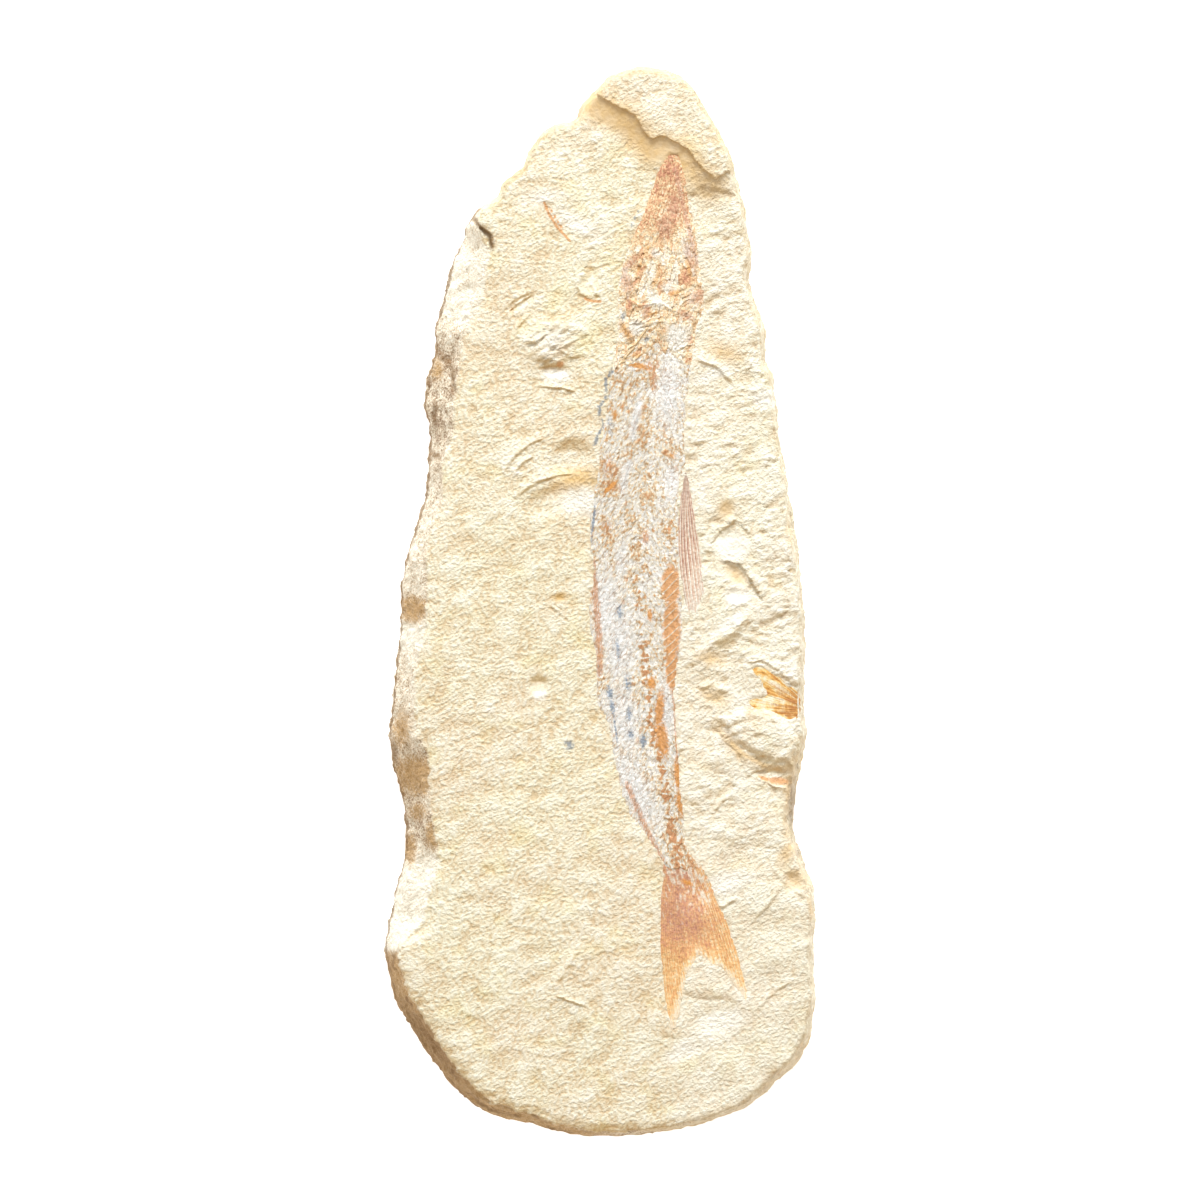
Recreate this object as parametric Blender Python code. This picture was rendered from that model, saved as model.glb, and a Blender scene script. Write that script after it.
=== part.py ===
"""A slender fossil fish lying in a loose slab of fine limestone.

The slab lies on its flat back with the split face up: X runs across it, Y along the fish
towards the snout, Z up. Units are metres, and the origin is the middle of the back.
Plan positions in the tables are in millimetres.
"""

import math

import bmesh
import bpy
from mathutils import Vector, noise
from mathutils.geometry import delaunay_2d_cdt

MM = 0.001

# Driving dimensions of the slab
LENGTH, WIDTH = 268, 108  # mm, what OUTLINE spans
FACE = 16.5 * MM  # height of the split face above the back
FLAKE_RISE = 1.9 * MM  # the raised flake over the snout
STEP_RISE = 0.6 * MM  # the thin second layer below that flake
LEAF_RISE = 1.2 * MM  # the leaf-shaped flake at the right-hand edge
WAVE = 0.5 * MM  # how far the split face swells and dips
LONG_SWELL, SHORT_SWELL = 54, 8  # mm from one swelling of the face to the next
LEDGE_HALF = 0.4  # mm in plan, half the width of a broken edge on the face
RIM_DROP = 0.7 * MM  # the face falls away by this at its rim
BACK_INSET = 1.6  # mm that the back lies inside the foot of the walls
FOOT = 2.6 * MM  # height of the foot, where the slab is widest
CHIP = 0.8  # mm that the facets of the walls stand in or out
CHIP_SPAN = 11  # mm from one facet to the next
FILL_PITCH = 4.6  # mm between the points of the face's mesh

# Driving dimensions of the fish
BONE_RISE = 0.45 * MM  # how far the fish stands above the face
SKULL_CROWN = 0.9 * MM  # extra height along the middle of the skull
VERTEBRA_RISE = 0.6 * MM
RIB_RISE = 0.3 * MM
RAY_RISE = 0.2 * MM
BED = 1.0 * MM  # how deep the fish is set into the face
GAP = 0.3  # mm between the fish and its pocket
VERTEBRA_PITCH = 3.1  # mm
SKULL_END = 65.5  # mm along Y, at the gill opening
TAIL_ROOT = -64.0  # mm along Y

# The slab's outline clockwise from the snout end: x, y of the foot and the wall's run, in mm.
OUTLINE = (
    (10, 134, 1.2), (16.5, 133, 1.2), (20.5, 131.5, 1.2), (24, 127.8, 1.2), (28.5, 120, 1.2),
    (30.5, 116.2, 1.2), (32.7, 112.5, 1.2), (34.5, 105, 1.2), (36.5, 97.5, 1.2), (38, 86.5, 1.2),
    (37.3, 80, 1.2), (39, 75, 1.2), (41.5, 67.5, 1.2), (41.5, 60, 1.2), (43.5, 56.5, 1.2),
    (45, 41.5, 1.2), (47.5, 26.5, 1.2), (49, 19, 2.5), (50, 11.5, 1.2), (51.2, -2, 1.2),
    (51.5, -14, 1.2), (51, -26, 1.2), (52, -33.5, 1.2), (50.5, -41, 2), (49.5, -46, 2.5),
    (48.5, -54, 2.5), (49, -60, 2), (50.5, -63.5, 1.5), (52, -67.5, 1.5), (53.7, -72, 1.2),
    (54, -79, 1.2), (53.5, -90, 1.2), (54, -100, 1.2), (53, -108.5, 1.2), (51.5, -112, 1.5),
    (49.5, -116, 1.8), (44.5, -120, 1.8), (41, -123.5, 1.5), (36.5, -127, 1.2), (25.5, -131, 1.2),
    (15, -133, 1.2), (5, -134, 1.2), (-2.5, -134, 1.5), (-11.5, -132.6, 2), (-18, -130.6, 2.6),
    (-25.5, -129, 3), (-31, -126.8, 3.4), (-36.5, -121.5, 3.6), (-41.5, -115.5, 3.8),
    (-47, -107, 4.2), (-51.5, -99.5, 4.4), (-53, -91.5, 3), (-54, -86, 4), (-52.6, -78.5, 9),
    (-51, -71, 9), (-48.6, -63.5, 9), (-48.6, -56, 7), (-49.6, -48.5, 7.5), (-52, -41, 10),
    (-53, -34, 7.8), (-52, -26, 6), (-51, -16, 5.4), (-50, -7, 6.6), (-50, 4, 7.4),
    (-48.5, 11.5, 5.4), (-46, 19, 4.2), (-43.5, 26.5, 4.6), (-43, 35, 4), (-42.5, 41, 6),
    (-44, 49, 8), (-43, 56.5, 7.8), (-41, 63, 6.6), (-41.5, 67.5, 8), (-38.6, 78, 10),
    (-37, 85, 9.4), (-34.6, 90, 7.6), (-33.4, 94.5, 3.5), (-30.5, 98, 1), (-25.5, 101, 1),
    (-24, 105, 1), (-19, 108.8, 1), (-17.5, 113, 1), (-15, 116.5, 1), (-11, 119.5, 1.2),
    (-6, 120.2, 1.2), (-4.6, 124, 1.2), (-1.5, 127.8, 1.2), (2.5, 131.5, 1.2),
)

# The beds of the walls, from the foot up: how far up each ring lies, and how far in along the run.
# A bed's upper ring lies well inside its lower one, so that the walls break in ledges.
WALL_RINGS = ((0.22, 0.02), (0.30, 0.28), (0.54, 0.36), (0.61, 0.62), (0.84, 0.72))

# Broken edges on the face: the layer on their left, walking along, stands higher.
FLAKE_EDGE = (
    (-0.6, 126.6), (0.8, 125.3), (5.6, 123), (9.1, 121), (11.1, 117), (12.8, 115.2), (15.4, 116.2),
    (18.1, 115), (21.6, 113.2), (23.9, 110), (26.9, 107), (29.1, 105.3), (31.6, 107), (32.9, 107.6),
)
STEP_EDGE = ((22.6, 107), (24.6, 104), (29.6, 103), (33.8, 101.5))
LEAF_FLAKE = (
    (28.6, -28.8), (32, -33.5), (36.6, -37.6), (42, -40.4), (48.2, -41.2), (51, -35),
    (44.4, -27.6), (37, -26),
)

# Hollows and swellings: x, y, half length, half width, turn in degrees, rise (negative is a hollow).
RELIEF = {
    "crescent_pit": (-2.4, 79.6, 4.6, 2.6, 55, -1.0),
    "arc_groove": (-20, 74.4, 5.6, 1.5, 32, -0.7),
    "wrinkled_lump": (-11.5, 65.2, 9.6, 7.4, 30, 1.3),
    "lump_pit": (-11.6, 57.6, 3.4, 1.7, 0, -1.2),
    "shell_hollow": (-7.4, 35.4, 6.4, 5.2, 35, -1.3),
    "shell_slope": (-11.4, 24.6, 8.4, 4.4, 15, -0.7),
    "left_pit": (-15.4, -21.2, 3.2, 3.2, 0, -1.1),
    "edge_chip": (31.8, 22.6, 2.4, 2.2, 0, -1.0),
    "white_pit": (33.6, 14.4, 5.4, 4.4, 0, -1.3),
    "crevice": (34.6, 6.4, 5, 2, -42, -1.2),
    "crevice_ridge": (38.6, 4.8, 6, 1.6, -55, 0.8),
    "lit_bowl": (34.4, 1.4, 3.2, 2.2, 0, -0.8),
    "band_ridge": (32.4, -7.2, 7, 2.2, 36, 0.8),
    "shaded_hollow": (29.8, -14, 4.2, 3.4, -40, -1.0),
    "leaf_shadow": (44.2, -43.6, 5.6, 2.4, -12, -1.2),
    "tail_bowl": (30, -104.6, 8, 3.8, 10, -1.5),
    "tail_step": (20.4, -113.2, 6, 2.6, 24, -0.9),
    "corner_facet": (48.6, -70.4, 3, 3, 0, -0.9),
    "left_facet": (-47, -76, 6.6, 10, 8, -1.6),
}

# The fish from the snout to the tail root: y, then x of its left edge, spine and right edge, in mm.
FISH = (
    (112, 17.4, 18.6, 19.8), (109.5, 15.6, 18.4, 20.6), (105, 13.9, 18, 21.6), (98.5, 11.6, 17, 22.4),
    (94.2, 9.9, 16.6, 23.6), (87, 6.4, 16, 24.8), (80.7, 4.4, 15.6, 26), (78.4, 4.5, 15.4, 26),
    (75.7, 4.6, 15.2, 24.7), (69, 3.6, 14.8, 23.6), (64, 2.6, 14.4, 22.8), (56.5, 1.9, 13.5, 21.9),
    (49, 0.1, 13.4, 21.4), (40.2, -0.6, 12, 21.2), (35, -1.6, 11.4, 19.9), (25.2, -2.5, 9.6, 19.9),
    (15, -1.5, 9.1, 20), (6.5, -2.9, 9.5, 20.6), (-3.7, -1.2, 10.3, 20.5), (-9.8, -0.9, 10.8, 19.4),
    (-16.7, -0.6, 11.5, 18.9), (-22.2, 1.9, 12, 18.9), (-31.5, 3.5, 13, 19.6), (-42.7, 6.1, 15.8, 20.2),
    (-52, 8.9, 17.2, 21.1), (-61.2, 13.4, 18.9, 21.9), (-66, 16.6, 19.4, 22.8),
)

# Ends of the fins' rays, from the left-hand ray to the right-hand one, in mm.
TAIL_BASE = ((16.6, -66.4), (22.8, -65.9))
TAIL_ENDS = (
    (18.3, -109), (19.3, -105.5), (20.3, -101), (21.3, -96.5), (22.2, -92.6), (25, -88.6),
    (28, -90.6), (31.6, -92.8), (34.5, -97.2), (37.4, -100.6),
)
TAIL_BULGE = (-1.9, 2.2)  # mm that the outer rays bow out
DORSAL_BASE = ((20.8, 28), (21.8, 29.2))
DORSAL_ENDS = (
    (21.2, 0.8), (22.2, -1.2), (22.9, -3.2), (23.8, -4.2), (24.6, -3.4), (25.2, -1.6),
    (25.9, -0.6), (26.3, 3.2),
)
DORSAL_BULGE = (0, 1.1)
SCRAP_BASE = ((49.2, -24.6), (49.2, -29.6))
SCRAP_ENDS = (
    (47.4, -21.6), (43.2, -17.8), (40, -15.3), (37.9, -16), (39.4, -18.3), (40.9, -20.8),
    (41.6, -22.9), (39.4, -24), (36.6, -24.5), (36.9, -26), (40, -27.8), (44.6, -29.4),
)
SCRAP_BULGE = (0, 0)

LIMESTONE = (0.86, 0.78, 0.62)
BONE = (0.62, 0.37, 0.22)
FILM = (0.80, 0.78, 0.74)
FIN = (0.66, 0.38, 0.22)
AMBER_FIN = (0.78, 0.48, 0.18)


def clear_scene():
    for obj in list(bpy.data.objects):
        bpy.data.objects.remove(obj, do_unlink=True)


def finish(name, colour, roughness):
    material = bpy.data.materials.new(name)
    material.use_nodes = True
    shader = material.node_tree.nodes["Principled BSDF"]
    shader.inputs["Base Color"].default_value = (*colour, 1)
    shader.inputs["Roughness"].default_value = roughness
    shader.inputs["Metallic"].default_value = 0
    return material


def keep(name, bm, material):
    """Makes the bmesh one named object, with its faces turned outward."""
    bmesh.ops.recalc_face_normals(bm, faces=bm.faces[:])
    mesh = bpy.data.meshes.new(name)
    bm.to_mesh(mesh)
    bm.free()
    obj = bpy.data.objects.new(name, mesh)
    mesh.materials.append(material)
    bpy.context.scene.collection.objects.link(obj)
    return obj


def smoothstep(low, high, value):
    t = min(max((value - low) / (high - low), 0), 1)
    return t * t * (3 - 2 * t)


def blend(stations, value):
    """Reads a table whose first column falls, between the two rows around value."""
    for upper, lower in zip(stations, stations[1:]):
        if value >= lower[0]:
            break
    part = (value - upper[0]) / (lower[0] - upper[0])
    return [a + (b - a) * part for a, b in zip(upper[1:], lower[1:])]


def height_over_line(line, x, y):
    """How far y lies above a line that runs towards +X, and None beyond its ends."""
    for (x0, y0), (x1, y1) in zip(line, line[1:]):
        if x0 <= x <= x1:
            return y - (y0 + (y1 - y0) * (x - x0) / (x1 - x0))
    return None


def inside(loop, x, y):
    """True where the point lies inside the closed loop."""
    crossed = False
    for (x0, y0), (x1, y1) in zip(loop, loop[1:] + loop[:1]):
        if (y0 > y) != (y1 > y) and x < x0 + (x1 - x0) * (y - y0) / (y1 - y0):
            crossed = not crossed
    return crossed


def swelling(x, y):
    """The slow rise and fall of the split face, rougher to the right and at the snout end."""
    rough = min(smoothstep(-4, 30, x) + smoothstep(80, 112, y), 1.2)
    slow = noise.noise(Vector((x, y, 150)) / LONG_SWELL)
    quick = noise.noise(Vector((x, y, 68)) / SHORT_SWELL)
    return WAVE * (slow + quick * (0.3 + 0.8 * rough))


def hollow_or_lump(x, y):
    total = 0
    for cx, cy, half_length, half_width, turn, rise in RELIEF.values():
        angle = math.radians(turn)
        along = ((x - cx) * math.cos(angle) + (y - cy) * math.sin(angle)) / half_length
        across = ((y - cy) * math.cos(angle) - (x - cx) * math.sin(angle)) / half_width
        total += rise * MM * (1 - smoothstep(0.35, 1.1, math.hypot(along, across)))
    return total


def ledges(x, y):
    total = 0
    over_flake = height_over_line(FLAKE_EDGE, x, y)
    if over_flake is None:
        over_flake = y - FLAKE_EDGE[0 if x < 0 else -1][1]
    total += FLAKE_RISE * smoothstep(-LEDGE_HALF, LEDGE_HALF, over_flake)
    over_step = height_over_line(STEP_EDGE, x, y)
    if over_step is not None:
        total += STEP_RISE * smoothstep(-LEDGE_HALF, LEDGE_HALF, over_step)
    if inside(LEAF_FLAKE, x, y):
        total += LEAF_RISE
    return total


def face_height(x, y):
    return FACE + swelling(x, y) + hollow_or_lump(x, y) + ledges(x, y)


def inward(k, run):
    """The outline's point k moved into the slab by run."""
    x, y, _ = OUTLINE[k]
    before = OUTLINE[k - 1]
    after = OUTLINE[(k + 1) % len(OUTLINE)]
    way = Vector((after[1] - before[1], before[0] - after[0])).normalized()
    return x + way.x * run, y + way.y * run


def rim_points():
    """The rim of the face, in mm, one point for each of the outline's."""
    return [inward(k, station[2]) for k, station in enumerate(OUTLINE)]


def beside(line, offset):
    """The line's points moved to its left by offset, to its right if negative."""
    moved = []
    for k, (x, y) in enumerate(line):
        before = line[max(k - 1, 0)]
        after = line[min(k + 1, len(line) - 1)]
        way = Vector((before[1] - after[1], after[0] - before[0])).normalized()
        moved.append((x + way.x * offset, y + way.y * offset))
    return moved


def relief_points():
    """Points round and inside each hollow and swelling, so that the mesh can follow it."""
    points = []
    for cx, cy, half_length, half_width, turn, _ in RELIEF.values():
        angle = math.radians(turn)
        for reach, count in ((1.1, 10), (0.7, 8), (0.35, 5)):
            for n in range(count):
                step = math.tau * n / count
                along = half_length * reach * math.cos(step)
                across = half_width * reach * math.sin(step)
                x = cx + along * math.cos(angle) - across * math.sin(angle)
                y = cy + along * math.sin(angle) + across * math.cos(angle)
                points.append((x, y))
    return points


def fill_points():
    """A staggered grid of points, each a little out of place, all over the slab's box."""
    points = []
    row_pitch = FILL_PITCH * math.sqrt(0.75)
    for row in range(round(LENGTH / row_pitch)):
        for column in range(round(WIDTH / FILL_PITCH)):
            x = (column + row % 2 / 2) * FILL_PITCH - WIDTH / 2
            y = row * row_pitch - LENGTH / 2
            x += noise.noise(Vector((x, y, 0.5))) * FILL_PITCH / 2
            y += noise.noise(Vector((x, y, 7.5))) * FILL_PITCH / 2
            points.append((x, y))
    return points


def clear_of(points, taken, distance):
    return [p for p in points if all(math.dist(p, t) > distance for t in taken)]


def split_face(bm):
    """The slab's upper face: a mesh inside the rim whose edges follow every broken edge."""
    rim = rim_points()
    broken_edges = (FLAKE_EDGE, STEP_EDGE[1:], LEAF_FLAKE[:-2])
    lines = [beside(line, side) for line in broken_edges for side in (LEDGE_HALF, -LEDGE_HALF)]
    points, edges = list(rim), [(k, (k + 1) % len(rim)) for k in range(len(rim))]
    for line in lines:
        first = len(points)
        line = [p for p in line if inside(rim, *p)]
        points += line
        edges += [(first + k, first + k + 1) for k in range(len(line) - 1)]
    for more, distance in ((relief_points(), 1.1), (fill_points(), FILL_PITCH * 0.55)):
        points += clear_of([p for p in more if inside(rim, *p)], points, distance)
    made, _, faces, _, _, _ = delaunay_2d_cdt([Vector(p) for p in points], edges, [], 1, 1e-5)
    verts = [bm.verts.new((p.x * MM, p.y * MM, face_height(p.x, p.y))) for p in made]
    for face in faces:
        bm.faces.new([verts[k] for k in face])
    for vert in verts[:len(rim)]:
        vert.co.z -= RIM_DROP * (0.6 + noise.noise(vert.co * 120))
    return verts[:len(rim)]


def wall_ring(rise, reach, rim):
    """One ring of the side walls, a share of the way up and in, with its facets knocked about."""
    ring = []
    for k, (x, y, run) in enumerate(OUTLINE):
        spot = Vector((x, y, rise * 99)) / CHIP_SPAN
        px, py = inward(k, max(run * reach + noise.noise(spot) * CHIP * (0.6 + run / 6), 0))
        lift = noise.noise(spot * 1.4) * 2 * CHIP * MM
        ring.append((px * MM, py * MM, FOOT + (rim[k].co.z - FOOT) * rise + lift))
    return ring


def foot_rings():
    """The foot of the walls, where the slab is widest, and the edge of its flat back."""
    foot = [(x * MM, y * MM, FOOT) for x, y, _ in OUTLINE]
    back = [inward(k, BACK_INSET) for k in range(len(OUTLINE))]
    return foot, [(x * MM, y * MM, 0) for x, y in back]


def slab():
    bm = bmesh.new()
    loop = split_face(bm)
    foot, back = foot_rings()
    walls = [wall_ring(rise, reach, loop) for rise, reach in reversed(WALL_RINGS)]
    for ring in (*walls, foot, back):
        lower = [bm.verts.new(co) for co in ring]
        for k in range(len(loop)):
            bm.faces.new((loop[k - 1], loop[k], lower[k], lower[k - 1]))
        loop = lower
    bm.faces.new(loop)
    return keep("slab", bm, finish("limestone", LIMESTONE, 0.92))


def bone_height(x, y):
    """The level of the fish's surface before its own relief is added."""
    return FACE + swelling(x, y)


def plate(name, columns, rows, place, rise, material):
    """A thin closed solid with a flat underside and an upper face laid out by place(across, along)."""
    bm = bmesh.new()
    bmesh.ops.create_grid(bm, x_segments=columns, y_segments=rows, size=0.5)
    for vert in bm.verts:
        across, along = vert.co.x + 0.5, vert.co.y + 0.5
        x, y = place(across, along)
        vert.co = (x * MM, y * MM, bone_height(x, y) + rise(across, along))
    rim = [edge for edge in bm.edges if edge.is_boundary]
    walls = bmesh.ops.extrude_edge_only(bm, edges=rim)["geom"]
    for vert in (part for part in walls if isinstance(part, bmesh.types.BMVert)):
        vert.co.z = FACE - BED
    base = [part for part in walls if isinstance(part, bmesh.types.BMEdge) and part.is_boundary]
    bmesh.ops.edgeloop_fill(bm, edges=base)
    return keep(name, bm, material)


def crowned(across, power):
    """1 along the middle of a piece, falling to 0 at its two edges."""
    return (4 * across * (1 - across)) ** power if 0 < across < 1 else 0


def row_slant(y):
    """How steeply a row of bones falls back on either side of the spine, dying out at both ends."""
    return 0.75 * smoothstep(TAIL_ROOT, TAIL_ROOT + 24, y) * (1 - smoothstep(72, 92, y))


def on_fish(across, y):
    """The point across a row of the fish: 0 is its left edge, 0.5 the spine, 1 its right edge."""
    left, spine, right = blend(FISH, y)
    edge = left if across < 0.5 else right
    x = spine + (edge - spine) * abs(across - 0.5) * 2
    y -= row_slant(y) * abs(x - spine)
    return x, y


def skull(material):
    columns, rows = 10, 22
    front = FISH[0][0]

    def place(across, along):
        return on_fish(across, SKULL_END + GAP + (front - SKULL_END - GAP) * along)

    def rise(across, along):
        crown = SKULL_CROWN * crowned(across, 0.8) * (0.55 + 0.45 * math.sin(math.pi * along))
        seams = 0.16 * MM * math.sin(across * math.pi * 6) * (1 - along)
        knobs = noise.noise(Vector((across * 7, along * 12, 1.7))) * 0.35 * MM
        return BONE_RISE * crowned(across, 0.3) + crown + seams + knobs * crowned(across, 0.3)

    return plate("skull", columns, rows, place, rise, material)


def body(material):
    """The trunk. Each vertebra takes two rows, a high one and a low one, and ends in two ribs."""
    columns = 8
    rows = 2 * round((SKULL_END - TAIL_ROOT) / VERTEBRA_PITCH)
    ridge = 0.09  # half the width of the row of vertebrae, as a share of the trunk's
    laid_out = (0, 0.17, 0.34, 0.5 - ridge, 0.5, 0.5 + ridge, 0.66, 0.83, 1)

    def place(across, along):
        return on_fish(laid_out[round(across * columns)], TAIL_ROOT + (SKULL_END - TAIL_ROOT) * along)

    def rise(across, along):
        column, row = round(across * columns), round(along * rows)
        high = row % 2
        spine = VERTEBRA_RISE * (0.6 + 0.4 * high) if column == 4 else 0
        shoulder = VERTEBRA_RISE * 0.7 * high if column in (3, 5) else 0
        rib = RIB_RISE * high if column in (1, 2, 6, 7) else 0
        return BONE_RISE * crowned(laid_out[column], 0.3) + spine + shoulder + rib

    return plate("body", columns, rows, place, rise, material)


def fan(name, base, ends, bulge, rows, material):
    """A fin: two columns to a ray, from a short base to ends that lie where the rays stop."""
    columns = 2 * (len(ends) - 1)

    def place(across, along):
        share = across * (len(ends) - 1)
        k = min(int(share), len(ends) - 2)
        start = Vector(base[0]).lerp(Vector(base[1]), across)
        end = Vector(ends[k]).lerp(Vector(ends[k + 1]), share - k)
        bow = (bulge[0] + (bulge[1] - bulge[0]) * across) * math.sin(math.pi * along) ** 0.8
        side = Vector((end.y - start.y, start.x - end.x)).normalized() * -bow
        point = start.lerp(end, along) + side
        return point.x, point.y

    def rise(across, along):
        ray = RAY_RISE * (round(across * columns) % 2)
        thins = 1 - 0.5 * along
        return (BONE_RISE * crowned(across, 0.3) + ray) * thins

    return plate(name, columns, rows, place, rise, material)


def pocket(piece):
    """A cutter a little larger than the piece in plan, from below it to clear above the face."""
    bm = bmesh.new()
    bm.from_mesh(piece.data)
    floor = min(vert.co.z for vert in bm.verts)
    flat = [face for face in bm.faces if all(vert.co.z - floor < 1e-7 for vert in face.verts)]
    loop = [vert.co.copy() for vert in max(flat, key=lambda face: face.calc_area()).verts]
    bm.free()
    bm = bmesh.new()
    grown = []
    for k, co in enumerate(loop):
        sides = [(co - loop[k - 1]).normalized(), (loop[(k + 1) % len(loop)] - co).normalized()]
        out = Vector((-sides[0].y - sides[1].y, sides[0].x + sides[1].x, 0))
        out *= GAP * MM / max(1 + sides[0].dot(sides[1]), 0.3)
        grown.append(bm.verts.new((co.x + out.x, co.y + out.y, floor - GAP * MM)))
    face = bm.faces.new(grown)
    raised = bmesh.ops.extrude_face_region(bm, geom=[face])["geom"]
    for vert in (part for part in raised if isinstance(part, bmesh.types.BMVert)):
        vert.co.z = FACE + 4 * MM
    cutter = keep("pocket_for_" + piece.name, bm, piece.data.materials[0])
    cutter.hide_render = True
    cutter.display_type = "WIRE"
    return cutter


def set_into(matrix, piece):
    cut = matrix.modifiers.new("bed_of_" + piece.name, "BOOLEAN")
    cut.operation = "DIFFERENCE"
    cut.object = pocket(piece)


def main():
    clear_scene()
    bone = finish("fossil_bone", BONE, 0.6)
    fin_rays = finish("fossil_fin_rays", FIN, 0.65)
    matrix = slab()
    pieces = (
        skull(bone),
        body(finish("fossil_film", FILM, 0.7)),
        fan("dorsal_fin", DORSAL_BASE, DORSAL_ENDS, DORSAL_BULGE, 8, fin_rays),
        fan("tail_fin", TAIL_BASE, TAIL_ENDS, TAIL_BULGE, 10, fin_rays),
        fan("fin_scrap", SCRAP_BASE, SCRAP_ENDS, SCRAP_BULGE, 4, finish("amber_fin", AMBER_FIN, 0.6)),
    )
    for piece in pieces:
        set_into(matrix, piece)


main()
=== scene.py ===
"""A slender fossil fish in a slab of fine limestone: the finished surfaces, light and camera.

The slab lies on its back with the split face up. X runs across it, Y along the fish towards
the snout, Z up. Plan positions, heights and widths in this file are millimetres, and MM turns
them to metres where they reach a mesh.
"""

import math

import bmesh
import bpy
import numpy as np
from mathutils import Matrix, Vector, noise


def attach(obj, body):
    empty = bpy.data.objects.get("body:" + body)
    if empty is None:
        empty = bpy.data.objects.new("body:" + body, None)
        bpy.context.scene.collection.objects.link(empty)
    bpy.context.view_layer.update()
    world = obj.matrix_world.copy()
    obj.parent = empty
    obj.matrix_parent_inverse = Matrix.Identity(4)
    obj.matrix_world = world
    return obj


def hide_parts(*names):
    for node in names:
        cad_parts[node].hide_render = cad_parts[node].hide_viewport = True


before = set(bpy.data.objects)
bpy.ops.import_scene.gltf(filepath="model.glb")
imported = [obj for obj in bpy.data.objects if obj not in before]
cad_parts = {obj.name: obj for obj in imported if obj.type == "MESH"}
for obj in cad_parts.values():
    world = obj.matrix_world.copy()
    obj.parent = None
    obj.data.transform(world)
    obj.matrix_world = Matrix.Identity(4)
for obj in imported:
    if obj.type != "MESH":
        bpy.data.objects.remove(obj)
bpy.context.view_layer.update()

MM = 0.001

# ---------------------------------------------------------------- the slab's form, as in the part

FACE = 16.5  # height of the split face over the back
FLAKE_RISE, STEP_RISE, LEAF_RISE = 1.9, 0.6, 1.2
WAVE = 0.5  # how far the split face swells and dips
LONG_SWELL, SHORT_SWELL = 54, 8  # from one swelling of the face to the next
LONG_SLICE, SHORT_SLICE = 150, 68  # where the noise is cut for each
BED = 1.0  # how deep the fish is set into the face
BED_FLOOR = FACE - BED - 0.3

# The slab's outline clockwise from the snout end: x, y of the foot and the wall's run.
OUTLINE = (
    (10, 134, 1.2), (16.5, 133, 1.2), (20.5, 131.5, 1.2), (24, 127.8, 1.2), (28.5, 120, 1.2),
    (30.5, 116.2, 1.2), (32.7, 112.5, 1.2), (34.5, 105, 1.2), (36.5, 97.5, 1.2), (38, 86.5, 1.2),
    (37.3, 80, 1.2), (39, 75, 1.2), (41.5, 67.5, 1.2), (41.5, 60, 1.2), (43.5, 56.5, 1.2),
    (45, 41.5, 1.2), (47.5, 26.5, 1.2), (49, 19, 2.5), (50, 11.5, 1.2), (51.2, -2, 1.2),
    (51.5, -14, 1.2), (51, -26, 1.2), (52, -33.5, 1.2), (50.5, -41, 2), (49.5, -46, 2.5),
    (48.5, -54, 2.5), (49, -60, 2), (50.5, -63.5, 1.5), (52, -67.5, 1.5), (53.7, -72, 1.2),
    (54, -79, 1.2), (53.5, -90, 1.2), (54, -100, 1.2), (53, -108.5, 1.2), (51.5, -112, 1.5),
    (49.5, -116, 1.8), (44.5, -120, 1.8), (41, -123.5, 1.5), (36.5, -127, 1.2), (25.5, -131, 1.2),
    (15, -133, 1.2), (5, -134, 1.2), (-2.5, -134, 1.5), (-11.5, -132.6, 2), (-18, -130.6, 2.6),
    (-25.5, -129, 3), (-31, -126.8, 3.4), (-36.5, -121.5, 3.6), (-41.5, -115.5, 3.8),
    (-47, -107, 4.2), (-51.5, -99.5, 4.4), (-53, -91.5, 3), (-54, -86, 4), (-52.6, -78.5, 9),
    (-51, -71, 9), (-48.6, -63.5, 9), (-48.6, -56, 7), (-49.6, -48.5, 7.5), (-52, -41, 10),
    (-53, -34, 7.8), (-52, -26, 6), (-51, -16, 5.4), (-50, -7, 6.6), (-50, 4, 7.4),
    (-48.5, 11.5, 5.4), (-46, 19, 4.2), (-43.5, 26.5, 4.6), (-43, 35, 4), (-42.5, 41, 6),
    (-44, 49, 8), (-43, 56.5, 7.8), (-41, 63, 6.6), (-41.5, 67.5, 8), (-38.6, 78, 10),
    (-37, 85, 9.4), (-34.6, 90, 7.6), (-33.4, 94.5, 3.5), (-30.5, 98, 1), (-25.5, 101, 1),
    (-24, 105, 1), (-19, 108.8, 1), (-17.5, 113, 1), (-15, 116.5, 1), (-11, 119.5, 1.2),
    (-6, 120.2, 1.2), (-4.6, 124, 1.2), (-1.5, 127.8, 1.2), (2.5, 131.5, 1.2),
)

# Broken edges on the face: the layer on their left, walking along, stands higher.
FLAKE_EDGE = (
    (-0.6, 126.6), (0.8, 125.3), (5.6, 123), (9.1, 121), (11.1, 117), (12.8, 115.2), (15.4, 116.2),
    (18.1, 115), (21.6, 113.2), (23.9, 110), (26.9, 107), (29.1, 105.3), (31.6, 107), (32.9, 107.6),
)
STEP_EDGE = ((22.6, 107), (24.6, 104), (29.6, 103), (33.8, 101.5))
LEAF_FLAKE = (
    (28.6, -28.8), (32, -33.5), (36.6, -37.6), (42, -40.4), (48.2, -41.2), (51, -35),
    (44.4, -27.6), (37, -26),
)

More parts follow.
